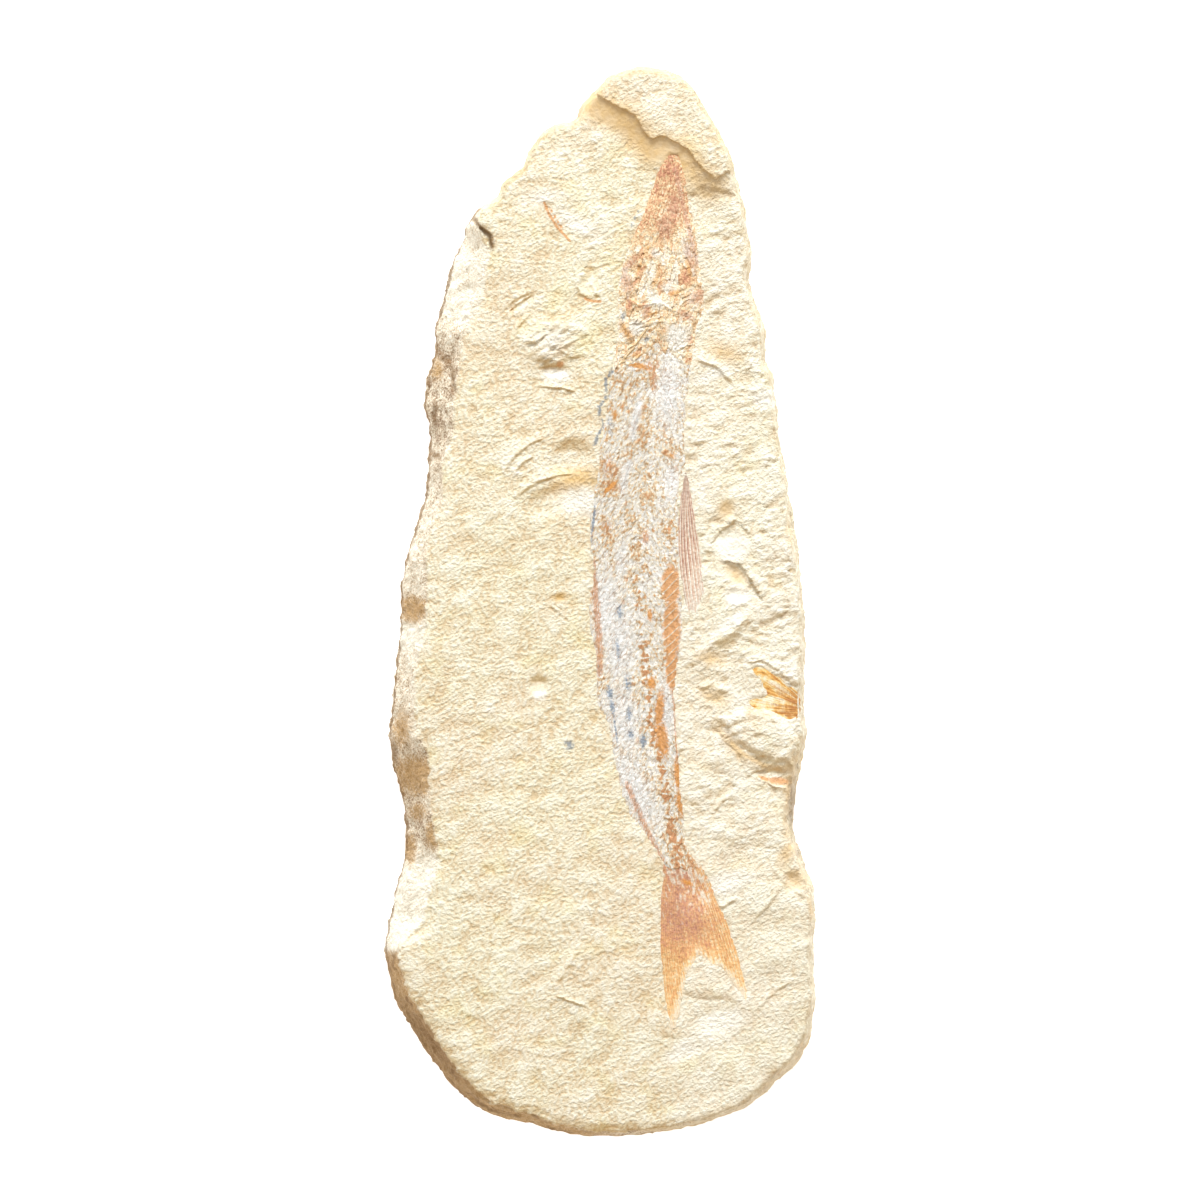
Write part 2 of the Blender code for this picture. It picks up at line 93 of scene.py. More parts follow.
# Hollows and swellings: x, y, half length, half width, turn in degrees, rise (negative is a hollow).
RELIEF = {
    "crescent_pit": (-2.4, 79.6, 4.6, 2.4, 55, -0.45),
    "arc_groove": (-20, 74.4, 5.6, 1.5, 32, -0.7),
    "wrinkled_lump": (-11.5, 65.2, 9.6, 7.4, 30, 1.3),
    "lump_pit": (-11.6, 57.6, 3.4, 1.7, 0, -0.6),
    "shell_hollow": (-7.4, 35.4, 6.4, 5.2, 35, -1.3),
    "shell_slope": (-11.4, 24.6, 8.4, 4.4, 15, -0.7),
    "left_pit": (-15.2, -21.2, 2.8, 2.8, 0, -0.95),
    "small_pit": (-9.8, 0.9, 1.7, 1, 10, -0.45),
    "edge_chip": (31.8, 22.6, 2.4, 2.2, 0, -0.5),
    "white_pit": (33.6, 14.4, 5.4, 4.4, 0, -0.5),
    "crevice": (34.2, 6.2, 4, 2, -50, -0.7),
    "crevice_ridge": (38.6, 4.8, 6, 1.6, -55, 0.4),
    "lit_bowl": (34.4, 1.4, 3.2, 2.2, 0, -0.8),
    "band_ridge": (32.4, -7.2, 7, 2.2, 36, 0.3),
    "shaded_hollow": (29.4, -13.6, 4.6, 3, -20, -0.75),
    "leaf_shadow": (44.2, -43.6, 5.6, 2.4, -12, -0.8),
    "low_hollow": (28.6, -23.8, 4.2, 2.4, -10, -0.5),
    "tail_bowl": (30, -104.6, 8, 3.8, 10, -0.3),
    "tail_step": (20.4, -113.2, 6, 2.6, 24, -0.2),
    "corner_facet": (48.6, -70.4, 3, 3, 0, -0.9),
    "left_facet": (-47, -76, 6.6, 10, 8, -1.6),
}

SMOOTH_HOLLOWS = (
    "crescent_pit", "left_pit", "white_pit", "edge_chip", "lit_bowl", "crevice", "corner_facet",
)

# ---------------------------------------------------------------- the fish's form, as in the part

SKULL_END, TAIL_ROOT = 65.5, -64.0
VERTEBRA_PITCH, RIB_PITCH, THREAD_PITCH = 3.1, 2.3, 2.4
FISH = (
    (112, 17.4, 18.6, 19.8), (109.5, 15.6, 18.4, 20.6), (105, 13.9, 18, 21.6), (98.5, 11.6, 17, 22.4),
    (94.2, 9.9, 16.6, 23.6), (87, 6.4, 16, 24.8), (80.7, 4.4, 15.6, 26), (78.4, 4.5, 15.4, 26),
    (75.7, 4.6, 15.2, 24.7), (69, 3.6, 14.8, 23.6), (64, 2.6, 14.4, 22.8), (56.5, 1.9, 13.5, 21.9),
    (49, 0.1, 13.4, 21.4), (40.2, -0.6, 12, 21.2), (35, -1.6, 11.4, 19.9), (25.2, -2.5, 9.6, 19.9),
    (15, -1.5, 9.1, 20), (6.5, -2.9, 9.5, 20.6), (-3.7, -1.2, 10.3, 20.5), (-9.8, -0.9, 10.8, 19.4),
    (-16.7, -0.6, 11.5, 18.9), (-22.2, 1.9, 12, 18.9), (-31.5, 3.5, 13, 19.6), (-42.7, 6.1, 15.8, 20.2),
    (-52, 8.9, 17.2, 21.1), (-61.2, 13.4, 18.9, 21.9), (-66, 16.2, 19.9, 24.6),
)
TAIL_BASE = ((16.1, -65.6), (25.4, -65.8))
TAIL_ENDS = (
    (18.3, -109), (19.3, -105.5), (20.3, -101), (21.3, -96.5), (22.2, -92.6), (25, -88.6),
    (28, -90.6), (31.6, -92.8), (34.5, -97.2), (37.4, -100.6),
)
TAIL_BULGE = (-1.9, 1.4)
SCRAP_BASE = ((49.9, -22.8), (49.9, -29))  # just inside the rim
SCRAP_ENDS = (
    (49.4, -22.2), (46.6, -20.8), (44.1, -18.2), (40.1, -15.8), (37.3, -16.8), (40.4, -19.8),
    (40.6, -21.8), (42, -23.3), (38.4, -24.2), (36.9, -24.9), (38.6, -27.3), (42.6, -27.6),
    (45.1, -29.3), (47.8, -30.2),
)
TAIL = (TAIL_BASE, TAIL_ENDS, TAIL_BULGE)
TAIL_RAYS, DORSAL_RAYS, SCRAP_RAYS = 24, 7, 14
DORSAL_WORN = (
    (21.9, -1.6), (22.4, -3.2), (23, -2.6), (23.8, -3.2), (24.6, -1.6), (25.2, -1), (25.8, 0.6), (26.1, 3),
)
DORSAL = (((21.3, 31.4), (21.9, 31.5)), DORSAL_WORN, (-2.0, 0.5))
SCRAP = (SCRAP_BASE, SCRAP_ENDS, (0, 0))

# ---------------------------------------------------------------- the slab's fine relief

ACROSS_PITCH, ALONG_PITCH = 1.6, 0.8  # mm of the slab's first mesh, across and along
RIPPLE = 0.12  # mm, the fine ripples
WRINKLE = 0.27  # mm, the coarser wrinkles
FACET = 0.34  # mm, the leaning plates that the torn parts break into
SUNK = 0.5  # mm that the stone lies below the fish where the fish hides it
TUCKED = 0.05  # mm that the edges of the fish's pieces lie below the face
SKIN = 0.12  # mm that bone and skin stand over it
CROWN = 0.75  # mm that the skull's middle stands over its edges
RIM_WEAR, LEFT_RIM_WEAR = 0.3, 0.25  # mm that the rim is worn down, and more of it at the left
BEDDING = 1.7  # mm from one brown band to the next in the low end's wall

# Where the face is torn rather than split clean: x, y, half length, half width, turn in degrees.
TORN_PARTS = (
    (-10, 96, 13, 8, 20), (-2, 82, 6, 9, 0), (-11.5, 65.2, 10, 8, 30), (-12, 54, 6, 3, 0),
    (29, 62, 6, 7, 0), (32, 16, 8, 11, 0), (32, -12, 9, 14, 0), (38, -34, 10, 8, -30),
    (33, -72, 8, 4, 10), (46, -50, 6, 5, 0), (28, -108, 8, 4, 20), (-18, 34, 7, 6, 30),
    (-46, -96, 4, 5, 0),
)

# Broken edges and scratches: the points, then the rise, then how far it reaches to the left of
# the way it runs, and to the right.
EDGES = (
    (((-5.6, 83.4), (-6.2, 80), (-4.8, 77), (-2.6, 75.6)), 0.45, 2.4, 0.5),
    (((-2.4, 79.6), (0.2, 75.6)), 0.35, 0.4, 0.4),
    (((-24.4, 70.6), (-21, 74), (-16.6, 76.8)), 0.45, 2.0, 0.35),
    (((-16.6, 72.4), (-20.6, 68.6), (-21.9, 64)), 0.45, 0.5, 0.9),
    (((-12.8, 65.2), (-10.4, 63.2), (-7.4, 61.4)), 0.3, 0.35, 0.5),
    (((-15.4, 53.7), (-10.6, 53.4), (-5.6, 52.4)), 0.5, 1.6, 0.35),
    (((-32.2, 50.4), (-29.4, 46.4), (-27, 42.4)), 0.3, 0.4, 0.5),
    (((-24.6, 31.4), (-21.4, 36), (-17.4, 39.4), (-12.8, 41.2)), 0.45, 2.2, 0.4),
    (((-21.8, 31.2), (-19.6, 34.4), (-16.4, 36.4)), 0.4, 1.2, 0.4),
    (((-22, 25.4), (-16, 29.8), (-10.6, 31.4), (-4, 32)), 0.5, 3.4, 0.6),
    (((-12.8, -0.6), (-9.6, -3), (-6.6, -5.6)), 0.32, 0.35, 0.35),
    (((-11.9, 0), (-8.8, -2.4)), 0.2, 0.3, 0.3),
    (((-28.2, -36.4), (-19.4, -32.6), (-8.6, -29.2)), -0.2, 0.3, 0.3),
    (((-24, -28.6), (-21, -32.6)), 0.25, 0.3, 0.4),
    (((0.6, -59.6), (0, -66), (-0.5, -74.4)), -0.28, 0.25, 0.25),
    (((-11.2, -96.6), (-7.6, -90.8), (-4.2, -85.6)), 0.4, 1.6, 0.6),
    (((-11.3, -98.4), (-7.4, -99.8), (-3.2, -101.4)), 0.55, 0.5, 0.4),
    (((-4.4, -102), (-5.4, -106.4), (-8.2, -110.2)), 0.32, 0.35, 0.4),
    (((-30.8, -99.8), (-29, -103.8)), 0.35, 0.35, 0.35),
    (((-17.2, -111.6), (-15.6, -115.6), (-14.2, -119.2)), 0.35, 0.4, 0.4),
    (((27.6, 13.6), (30, 17.2), (34.2, 20.2), (36.8, 17.6), (39.2, 13)), -0.36, 0, 8),
    (((30, 10.2), (35, 9.2), (38, 5), (41.2, -0.8)), -0.9, 0, 4.5),
    (((24.2, -12.6), (28, -11.4), (31.8, -13.4)), 0.45, 1.4, 3.6),
    (((24.6, -21.6), (28, -20.6), (32, -23)), 0.45, 1.5, 3.6),
    (((38.4, -2.6), (33.4, -7.8), (26.2, -11.4)), 0.5, 2.6, 2.6),
    (((24, 60.6), (29.8, 58.4), (33.8, 53.6)), 0.6, 2.6, 0.6),
    (((36.4, 66.8), (37.4, 60.4), (39.8, 56.8)), 0.4, 0.4, 2.4),
    (((36.4, -15.4), (40.4, -14.8), (44.6, -17.2), (49, -21.4)), 0.4, 3.4, 0.2),
    (((28.4, -30), (31.6, -34.8), (35.6, -38.6), (37.4, -40.6)), 0.45, 0.35, 0.35),
    (((38, -43.4), (43.4, -46.2), (49, -47.2)), 0.45, 0.6, 1.8),
    (((28.8, -52.6), (31.8, -48.8)), 0.5, 1.4, 0.5),
    (((19.4, -97.8), (25, -99.8), (29.6, -99.6), (35.6, -101)), -0.5, 2.2, 9),
    (((14.2, -108.8), (20, -109.6), (26, -108.2)), -0.3, 1.8, 7),
    (((42.4, -66), (47, -71.2), (52, -74.6)), 0.4, 1.8, 0.5),
    (((38.4, -80), (43.6, -74), (46.4, -70)), 0.4, 2.2, 0.6),
    (((26.4, -75.4), (31, -76.4), (34.8, -74)), 0.5, 1.8, 0.6),
    (((39.4, -101.6), (44.4, -97.2), (48.6, -94.6)), 0.35, 1.4, 0.5),
    (((27.6, -119), (31.4, -114.4)), 0.4, 0.5, 0.5),
    (((-33, 97.6), (-29.8, 93.8), (-27, 91.4), (-26.9, 87)), -1.3, 0, 6),
    (((-13.8, 99.6), (-12.6, 96.6), (-10.4, 93.2), (-7.4, 90)), 0.2, 0.4, 0.4),
)

# ---------------------------------------------------------------- colours in the stone and the fish

# Stains and bare spots, some of them painted light and shade: x, y, half length, half width, turn in
# degrees, and at times how strong.
# A line of points and a half width is a streak.
STONE_SPOTS = {
    "amber": (
        (-9.8, 59.2, 0.9, 0.8, 0), (44.6, -45, 2.8, 0.9, -6),
        (41.4, -44.4, 1.6, 0.4, -24), (36.4, -57.2, 0.5, 1.3, 0, 0.8),
    ),
    # Chalk in the white pit, the lit bowl, the lit band, the left pit and the bowl and step by the tail is
    # painted light on faces turned to the light.
    "chalk": (
        (33, 13.4, 4.6, 4, 0), (34.6, 1.2, 3.6, 3, 0), (-3, 24.6, 7, 3.6, -12), (-11, 56.4, 4, 1.6, 0),
        (-15, -23.8, 1.6, 1.2, 0), (31, -105, 7, 2.8, 10), (20.6, -112.8, 5, 2.4, 26),
        (33.2, -5, 6.8, 1.4, 38), (28, 56.4, 5, 1.6, 20), (41, 50.6, 3, 3, 0),
        (-5.6, 94, 9, 3, -30, 0.8), (-14, 101, 8, 3, 10, 0.75), (32, -70.4, 8, 3, 16),
        (-11.5, 65.2, 8, 6, 30, 0.7),
    ),
    "umber": (
        (-51.9, -37.6, 1.2, 3.4, 0), (48.4, -50.6, 2, 9, 0, 0.8), (49, -63.4, 1.4, 3, -30, 0.8),
        (-38.4, 60.4, 1.2, 3.6, 40, 0.9), (-36.6, 56, 0.8, 5, 0, 0.9),
        (-42.4, -110, 3, 18, 38, 0.85), (-41, 36.4, 1.8, 1, -30, 0.9),
        (-41.2, 47, 0.7, 3, 0, 0.9),
    ),
    # Tan in the crevice, the small pit, the shaded and low hollows and along the leaf's edge is painted
    # shade.
    "tan": (
        (31.6, 23, 2.2, 2.1, 0), (33, -35.8, 6, 1.1, -50), (49, -69.8, 2.6, 2.4, 0),
        (46.6, -63.6, 1.5, 3.4, -30), (53, -77, 0.8, 2.4, 12), (48.4, -50, 2.2, 9, 0),
        (48.4, 18, 1.4, 2.8, 0), (34.2, 6.4, 4, 1.4, -50), (28, -14.4, 3.6, 1.6, -10),
        (28.4, -24, 3.4, 1.6, -10), (31.4, 62, 3.6, 2, -20), (-6, 29.8, 5, 2.6, 20),
        (-9.9, 1, 1.8, 1, 10),
    ),
    "gold": (
        (-46, -43.6, 5.6, 4.8, -30), (-45.4, -52.6, 3.4, 3.6, 0, 0.76), (-41.4, -58.6, 2.2, 3.6, 0),
        (-46.6, -2.2, 3.4, 3.4, 0), (-49.4, -32, 3.6, 6.4, 0, 0.8), (-40.6, 58, 2.4, 4, 0, 0.8),
        (-47.4, -62.4, 1.4, 4, 0),
    ),
    "slate": ((-7.6, -36, 1.1, 1.0, 0), (8.6, 95.2, 0.3, 4.4, -24, 0.8)),
}
# Places along the slab, and how pale its left wall is there.
WALL_TONES = (
    (-134, 0.35), (-92, 0.4), (-88, 0.85), (-66, 0.9), (-60, 0.45), (-37, 0.42), (-33, 0.55),
    (-13, 0.6), (-11, 0.9), (-6, 0.9), (-4, 0.4), (0, 0.4), (2, 0.6), (30, 0.56), (34, 0.45),
    (60, 0.42), (66, 0.5), (72, 0.75), (86, 0.75), (92, 0.72), (134, 0.7),
)
LIGHT_FACET = (-49, -101.4, 5.4, 1.3, -62)  # the one bright break in the low end's brown
LEFT_RIM = [(x + 0.4, y) for x, y, _ in OUTLINE if x < -29.5 and y > -127]
BLUE_LINE = (
    (3.3, 58), (1.7, 55.6), (1.5, 53), (2, 51.5), (0.6, 49.4), (-0.3, 48.6), (0.4, 46), (0.6, 43.4),
    (-0.5, 41.2), (-1.3, 39),
)
STONE_STREAKS = (
    ("slate", BLUE_LINE, 0.36),
    # Painted shadow: a brown line along the foot of the left wall.
    ("umber", LEFT_RIM, 0.25),
    # Painted shadow under the overhang of the notch at the top left.
    ("umber", ((-32.4, 97), (-29.8, 93.6), (-27.1, 91.2), (-27, 88.4)), 0.6),
    ("amber", ((-3.6, 75.6), (-2, 75), (0.2, 74.9)), 0.35),
    # Painted shade along the foot of the leaf's edge.
    ("tan", ((31.4, -33.6), (36, -38.4), (41.4, -41.4), (48, -42.4)), 0.7),
    ("amber", ((-13.8, 99.6), (-12.6, 96.6), (-10.4, 93.2), (-7.4, 90)), 0.32),
    ("amber", ((-12.6, 98.6), (-11, 95.8), (-9.2, 93)), 0.22),
    # Painted shade: the band under the flake's edge.
    ("tan", ((-3, 125), (0, 123), (5, 121), (8, 118.6), (10, 115), (12.6, 112.8), (15.6, 113.4),
             (18, 112.4), (21.6, 110.6), (24.2, 106.6), (28, 103)), 3.6),
)
BONE_SPOTS = {
    "rust": (
        (16.4, 93.6, 1.6, 3, 0), (7.4, 84.2, 2.6, 0.8, 50), (18.6, 98, 1.6, 3, -10),
        (24.4, 76, 2.6, 1.6, 30), (22.6, 86, 1, 4, 14),
        (6.6, 80, 1.4, 3, 20), (11.6, 72.6, 1, 2, 0), (21.6, 71.4, 1.8, 1, -20),
    ),
    "amber": (
        (12.2, 88.4, 2.6, 0.6, 60, 0.8), (10, 83.4, 3, 0.5, 62, 0.75), (14, 80.4, 3.4, 0.6, 64, 0.8),
        (16.4, 79.4, 1.6, 0.9, 20, 0.85), (19, 77, 2, 0.9, 30, 0.8), (6.8, 67.2, 2.8, 0.9, -60),
        (11.8, 60.6, 3.4, 0.7, -14), (22.4, 83, 0.6, 3, 14, 0.8), (13.6, 72, 3, 0.5, 14, 0.8),
        (16, 67.6, 1.6, 0.9, 40, 0.8),
    ),
    "slate": (
        (11.8, 65.4, 0.7, 0.5, 40), (2.7, 63, 0.4, 1.2, 0), (7.2, 76, 0.5, 1.8, 0, 0.66),
        (5.9, 71, 0.8, 1.4, -20, 0.8), (7.4, 68.4, 0.8, 1, 0, 0.66),
    ),
    "chalk": (
        (19.6, 66.4, 2.8, 2.6, 0), (9.2, 68.6, 1.8, 1.8, 0), (17, 78.6, 2.2, 1.6, 0, 0.8),
        (14, 87, 1, 1.2, 0),
    ),
}
# Where the bone is browner or paler: x, y, half length, half width, turn, by how much.
BONE_TONES = (
    (13, 87, 4, 1.4, 64, 0.16), (10.4, 82, 4.4, 1.2, 60, 0.18), (14.6, 80, 4, 1.4, 66, 0.14),
    (21, 82, 2, 6, 10, 0.16), (19, 76, 3, 1.6, 30, 0.16), (16, 75, 4, 2, 0, -0.12),
    (13, 76, 2, 4, 30, -0.14), (16.6, 86, 1.6, 3, 0, -0.14), (9, 70, 3, 1.4, 20, 0.16),
    (19.4, 66, 3, 3, 0, -0.2), (9.4, 68, 2, 2, 0, -0.16), (16, 108, 4, 3, 0, 0.08),
)
BONE_STREAKS = (
    ("rust", ((19, 108), (20.6, 100), (22.6, 92), (24.4, 84)), 0.6),
    ("pale", ((5.4, 59.4), (8.6, 63.6), (12.1, 68.4)), 0.3),
)
BLADES = (
    (((5.4, 70), (8.3, 64.8)), 0.4, 0.7, 0.7),
    (((5.4, 59.4), (8.6, 63.6), (12.1, 68.4)), 0.5, 0.35, 0.35),
    (((10, 88), (12.6, 82), (14.4, 76)), 0.35, 0.6, 0.9),
    (((14, 90), (12.4, 84), (11, 78)), 0.4, 0.5, 0.8),
    (((18, 84), (17.2, 78), (18.4, 73)), 0.4, 0.5, 0.8),
    (((6.4, 76), (10, 74), (15, 74.6), (20, 72)), 0.45, 0.6, 1.2),
    (((8, 71), (12, 69.4), (17, 70.4)), 0.4, 0.5, 0.9),
    (((21, 92), (22.4, 86), (23.6, 80)), 0.4, 0.6, 0.6),
    (((16, 99), (15, 94), (13.6, 89)), 0.3, 0.5, 0.5),
)
BODY_SPOTS = {
    "rust": (
        (2.2, 33.4, 2.6, 4.4, 0, 0.66), (1.8, 18.6, 2.6, 3.6, 0, 0.6), (13.4, 53.6, 1.4, 2.2, 0, 0.7),
        (11.4, 16, 0.8, 1.6, 0), (12.6, 58.6, 1.2, 2, 0, 0.75),
    ),
    "muscle": (
        (17.8, 4, 2.4, 5, 0), (18, -7, 2.2, 8, 0), (18.2, -17, 1.6, 5.6, 0),
    ),
    "amber": (
        (2.7, 28.5, 2.2, 0.6, 42), (13, -20.6, 1, 1.6, 0), (15, -27, 1.1, 4.4, -6),
        (15.6, -34.4, 1.5, 4.8, 8), (12.6, -3.6, 0.6, 1.5, 0), (19.4, -43.4, 0.7, 4, 4),
        (20.2, -50.6, 0.9, 2.8, 8), (18, 36.4, 2, 1.8, 0, 0.66), (9.2, 59, 4, 0.7, -14),
        (3.8, 46.5, 1.4, 3.6, 0, 0.62),
    ),
    "slate": (
        (-1.6, 19.4, 0.3, 4.6, -6), (2.6, -23, 0.7, 1.6, 10), (3.2, -26.4, 0.5, 1.8, 10),
        (10.9, -34.9, 0.8, 1.5, 0), (5, -2.7, 1.4, 3, 0, 0.72), (7.1, -20.6, 1.2, 3, 0, 0.74),
        (7.4, -28.3, 1, 2.4, 0, 0.76), (7.8, -33.4, 1, 1.4, 0, 0.82), (4, -32, 0.3, 5, 8, 0.85),
        (4.6, -12, 0.6, 4, 6, 0.75), (12.6, 65, 1, 0.8, 40), (2.6, 44, 1, 4, 0, 0.64),
    ),
    "film": (
        (1.6, -2, 2.6, 8, 0), (5, -10, 3, 9, 0), (9, -47, 3, 9, 24), (17, 52, 2.4, 8, 0),
        (16.4, -27, 1.6, 7, 0), (6, -30, 3, 8, 10), (18, 30, 1.6, 4, 0), (8.8, 46, 0.7, 4, -14),
        (5.4, 10, 2, 6, 0, 0.8), (6, 30, 1.4, 6, 0, 0.8),
    ),
}
# Where the skin is browner or paler: x, y, half length, half width, turn, by how much.
BODY_TONES = (
    (14.4, 56, 4, 4, 0, 0.26), (11, 44, 2.4, 9, 0, 0.2), (16, 38, 3.4, 5, 0, 0.14),
    (2.6, 31, 3.6, 6, 0, 0.26), (2, 18, 3, 4.6, 0, 0.24), (8, 12, 3, 14, 0, 0.12),
    (12, 24, 3, 8, 0, 0.14), (5, 48, 4, 10, 0, 0.06), (2, -2, 3, 10, 0, -0.16),
    (18.6, 50, 2.4, 12, 0, -0.16), (9, -8, 3, 12, 0, -0.1), (17, 26, 3, 6, 0, -0.1),
    (9, -48, 2.4, 10, 24, -0.16), (17.6, -30, 1.4, 8, 0, -0.14),
)
BODY_RIDGES = (
    (((10.1, 49.5), (8.1, 41)), 0.4, 0.5, 0.5),
    (((7.6, 34.8), (5.9, 28.5)), 0.35, 0.4, 0.4),
    (((14, 58), (9, 51), (5, 47)), 0.25, 0.4, 0.6),
    (((18, 40), (12, 31), (8, 26)), 0.2, 0.4, 0.6),
)
TAIL_BARE = ((22, -69.4, 3, 1.6, 0), (24.4, -72.6, 2.4, 1.2, -30), (19, -67, 3, 1.4, 0))
TAIL_AMBER = ((22, -70.4, 2, 1, -20, 0.8),)
LEFT_BAND = ((-1.9, 10), (-1.0, 1), (-0.2, -8), (0, -18))
LOWER_BAND = ((6.9, -45.7), (8.5, -49.8), (11.2, -55.7), (13.5, -60.7), (15.8, -64.8))
BODY_STREAKS = (
    ("slate", BLUE_LINE, 0.42),
    ("rust", LEFT_BAND, 0.75), ("rust", LOWER_BAND, 0.6),
    ("film", ((10.1, 49.5), (8.1, 41)), 0.8),
    ("film", ((7.6, 34.8), (5.9, 28.5)), 0.6),
    ("rust", ((18.3, -20), (18.7, -26), (19.1, -32), (19.5, -40), (19.9, -46)), 0.3),
)


def ease(low, high, value):
    """0 at low, 1 at high, smooth between; low may be the larger."""
    t = np.clip((value - low) / (high - low), 0, 1)
    return t * t * (3 - 2 * t)


def lumps(u, v, w=0.0):
    """Smooth noise at each u, v, w."""
    u, v, w = np.broadcast_arrays(u, v, w)
    spots = zip(u.tolist(), v.tolist(), w.tolist())
    return np.array([noise.noise(spot) for spot in spots])


def grain(along, across, turn, seed):
    """A function of x, y: noise drawn out along one direction, with its lengths in mm."""
    c, s = math.cos(math.radians(turn)), math.sin(math.radians(turn))
    return lambda x, y: lumps((x * c + y * s) / along, (y * c - x * s) / across, seed)


def read_table(stations, value):
    """The columns of a table whose first column falls, read smoothly between its rows."""
    table = np.array(stations[::-1], float)
    heads, columns = table[:, 0], table[:, 1:]
    slopes = np.gradient(columns, heads, axis=0)
    k = np.clip(np.searchsorted(heads, value) - 1, 0, len(heads) - 2)
    span = heads[k + 1] - heads[k]
    t = ((value - heads[k]) / span)[:, None]
    lean = span[:, None]
    a, b = columns[k], columns[k + 1]
    first, second = slopes[k] * lean, slopes[k + 1] * lean
    bend = t * (1 - t) * ((1 - t) * (first - (b - a)) - t * (second - (b - a)))
    return (a + (b - a) * t + bend).T


def swelling(x, y):
    """The slow rise and fall of the split face, stronger at the right and at the snout end."""
    rough = np.minimum(ease(-4, 30, x) + ease(80, 112, y), 1.2)
    slow = lumps(x / LONG_SWELL, y / LONG_SWELL, LONG_SLICE / LONG_SWELL)
    quick = lumps(x / SHORT_SWELL, y / SHORT_SWELL, SHORT_SLICE / SHORT_SWELL)
    return WAVE * (slow + quick * (0.3 + 0.8 * rough))


def oval(x, y, shape):
    """How far each point lies from the middle of an oval, where 1 is its rim."""
    cx, cy, half_length, half_width, turn = shape[:5]
    c, s = math.cos(math.radians(turn)), math.sin(math.radians(turn))
    along = ((x - cx) * c + (y - cy) * s) / half_length
    across = ((y - cy) * c - (x - cx) * s) / half_width
    return np.hypot(along, across)


def hollow_or_lump(x, y):
    """How far the named hollows sink the face, and the lumps raise it."""
    return sum(shape[5] * (1 - ease(0.35, 1.1, oval(x, y, shape))) for shape in RELIEF.values())


def beside_line(points, x, y):
    """How far each point lies to the left of the line, and the share of the line it lies beside."""
    best = np.full(x.shape, 1e9)
    side, share = np.zeros(x.shape), np.zeros(x.shape)
    for k, ((x0, y0), (x1, y1)) in enumerate(zip(points, points[1:])):
        dx, dy = x1 - x0, y1 - y0
        t = np.clip(((x - x0) * dx + (y - y0) * dy) / (dx * dx + dy * dy), 0, 1)
        ox, oy = x - x0 - dx * t, y - y0 - dy * t
        gap = np.hypot(ox, oy)
        closer = gap < best
        best = np.where(closer, gap, best)
        side = np.where(closer, dx * oy - dy * ox, side)
        share = np.where(closer, (k + t) / (len(points) - 1), share)
    return np.copysign(best, side), share


def around(points, x, y, margin):
    """Which points lie in the line's box, widened by a margin."""
    xs, ys = zip(*points)
    across = (x > min(xs) - margin) & (x < max(xs) + margin)
    return across & (y > min(ys) - margin) & (y < max(ys) + margin)


def broken_edges(x, y, table):
    """Raised or sunk lips: highest along each edge's line, falling away to both sides."""
    total = np.zeros(x.shape)
    for points, rise, left, right in table:
        near = around(points, x, y, max(left, right))
        off, share = beside_line(points, x[near], y[near])
        off += 0.25 * lumps(x[near] / 1.6, y[near] / 1.6, 3)
        reach = np.where(off > 0, left, right)
        taper = np.minimum(1, 6 * np.minimum(share, 1 - share)) * (reach > 0)
        total[near] += rise * taper * np.clip(1 - abs(off) / np.maximum(reach, 0.1), 0, 1) ** 1.6
    return total


def depth_inside(x, y, loop):
    """How far each point lies inside the closed loop, negative outside."""
    best = np.full(x.shape, 1e9)
    within = np.zeros(x.shape, bool)
    for (x0, y0), (x1, y1) in zip(loop, loop[1:] + loop[:1]):
        dx, dy = x1 - x0, y1 - y0
        t = np.clip(((x - x0) * dx + (y - y0) * dy) / (dx * dx + dy * dy), 0, 1)
        best = np.minimum(best, np.hypot(x - x0 - dx * t, y - y0 - dy * t))
        if y0 != y1:
            within ^= ((y0 > y) != (y1 > y)) & (x < x0 + dx * (y - y0) / dy)
    return np.where(within, best, -best)


def ledges(x, y):
    """The flake over the snout with its ramp, the step below it and the leaf at the right."""
    ragged = 0.5 * lumps(x / 1.5, y / 1.5, 11)
    over_flake = y - np.interp(x, *zip(*FLAKE_EDGE)) + ragged
    over_step = y - np.interp(x, *zip(*STEP_EDGE)) + ragged
    in_leaf = depth_inside(x, y + ragged, list(LEAF_FLAKE))
    on_step = (x > STEP_EDGE[0][0]) & (x < STEP_EDGE[-1][0])
    run_up = 1.1 * np.clip(1 + over_flake / 8, 0, 1) ** 1.6 * ease(-4, 0, x)
    total = np.maximum(FLAKE_RISE * ease(-0.3, 0.3, over_flake), run_up)
    total += LEAF_RISE * ease(-0.1, 2.0, in_leaf)
    return total + on_step * STEP_RISE * ease(-0.5, 0.5, over_step) * ease(23, 28, x)


def splinters(x, y, length, width, turn, seed):
    """Broken plates drawn out along one direction: the height of each leaning plate, how far
    its border is, and a number that stays the same over it."""
    c, s = math.cos(math.radians(turn)), math.sin(math.radians(turn))
    u, v = (x * c + y * s) / length, (y * c - x * s) / width
    found = [noise.voronoi((a, b, seed)) for a, b in zip(u.tolist(), v.tolist())]
    border = np.array([gaps[1] - gaps[0] for gaps, _ in found])
    mx, my = np.array([spots[0].to_tuple() for _, spots in found]).T[:2]
    lean = lumps(mx * 5.7, my * 5.7, seed), lumps(mx * 5.7, my * 5.7, seed + 9)
    own = 2 * lumps(mx * 3.3, my * 3.3, seed + 4)
    return 3 * ((u - mx) * lean[0] + (v - my) * lean[1]), np.minimum(border, 0.3), own


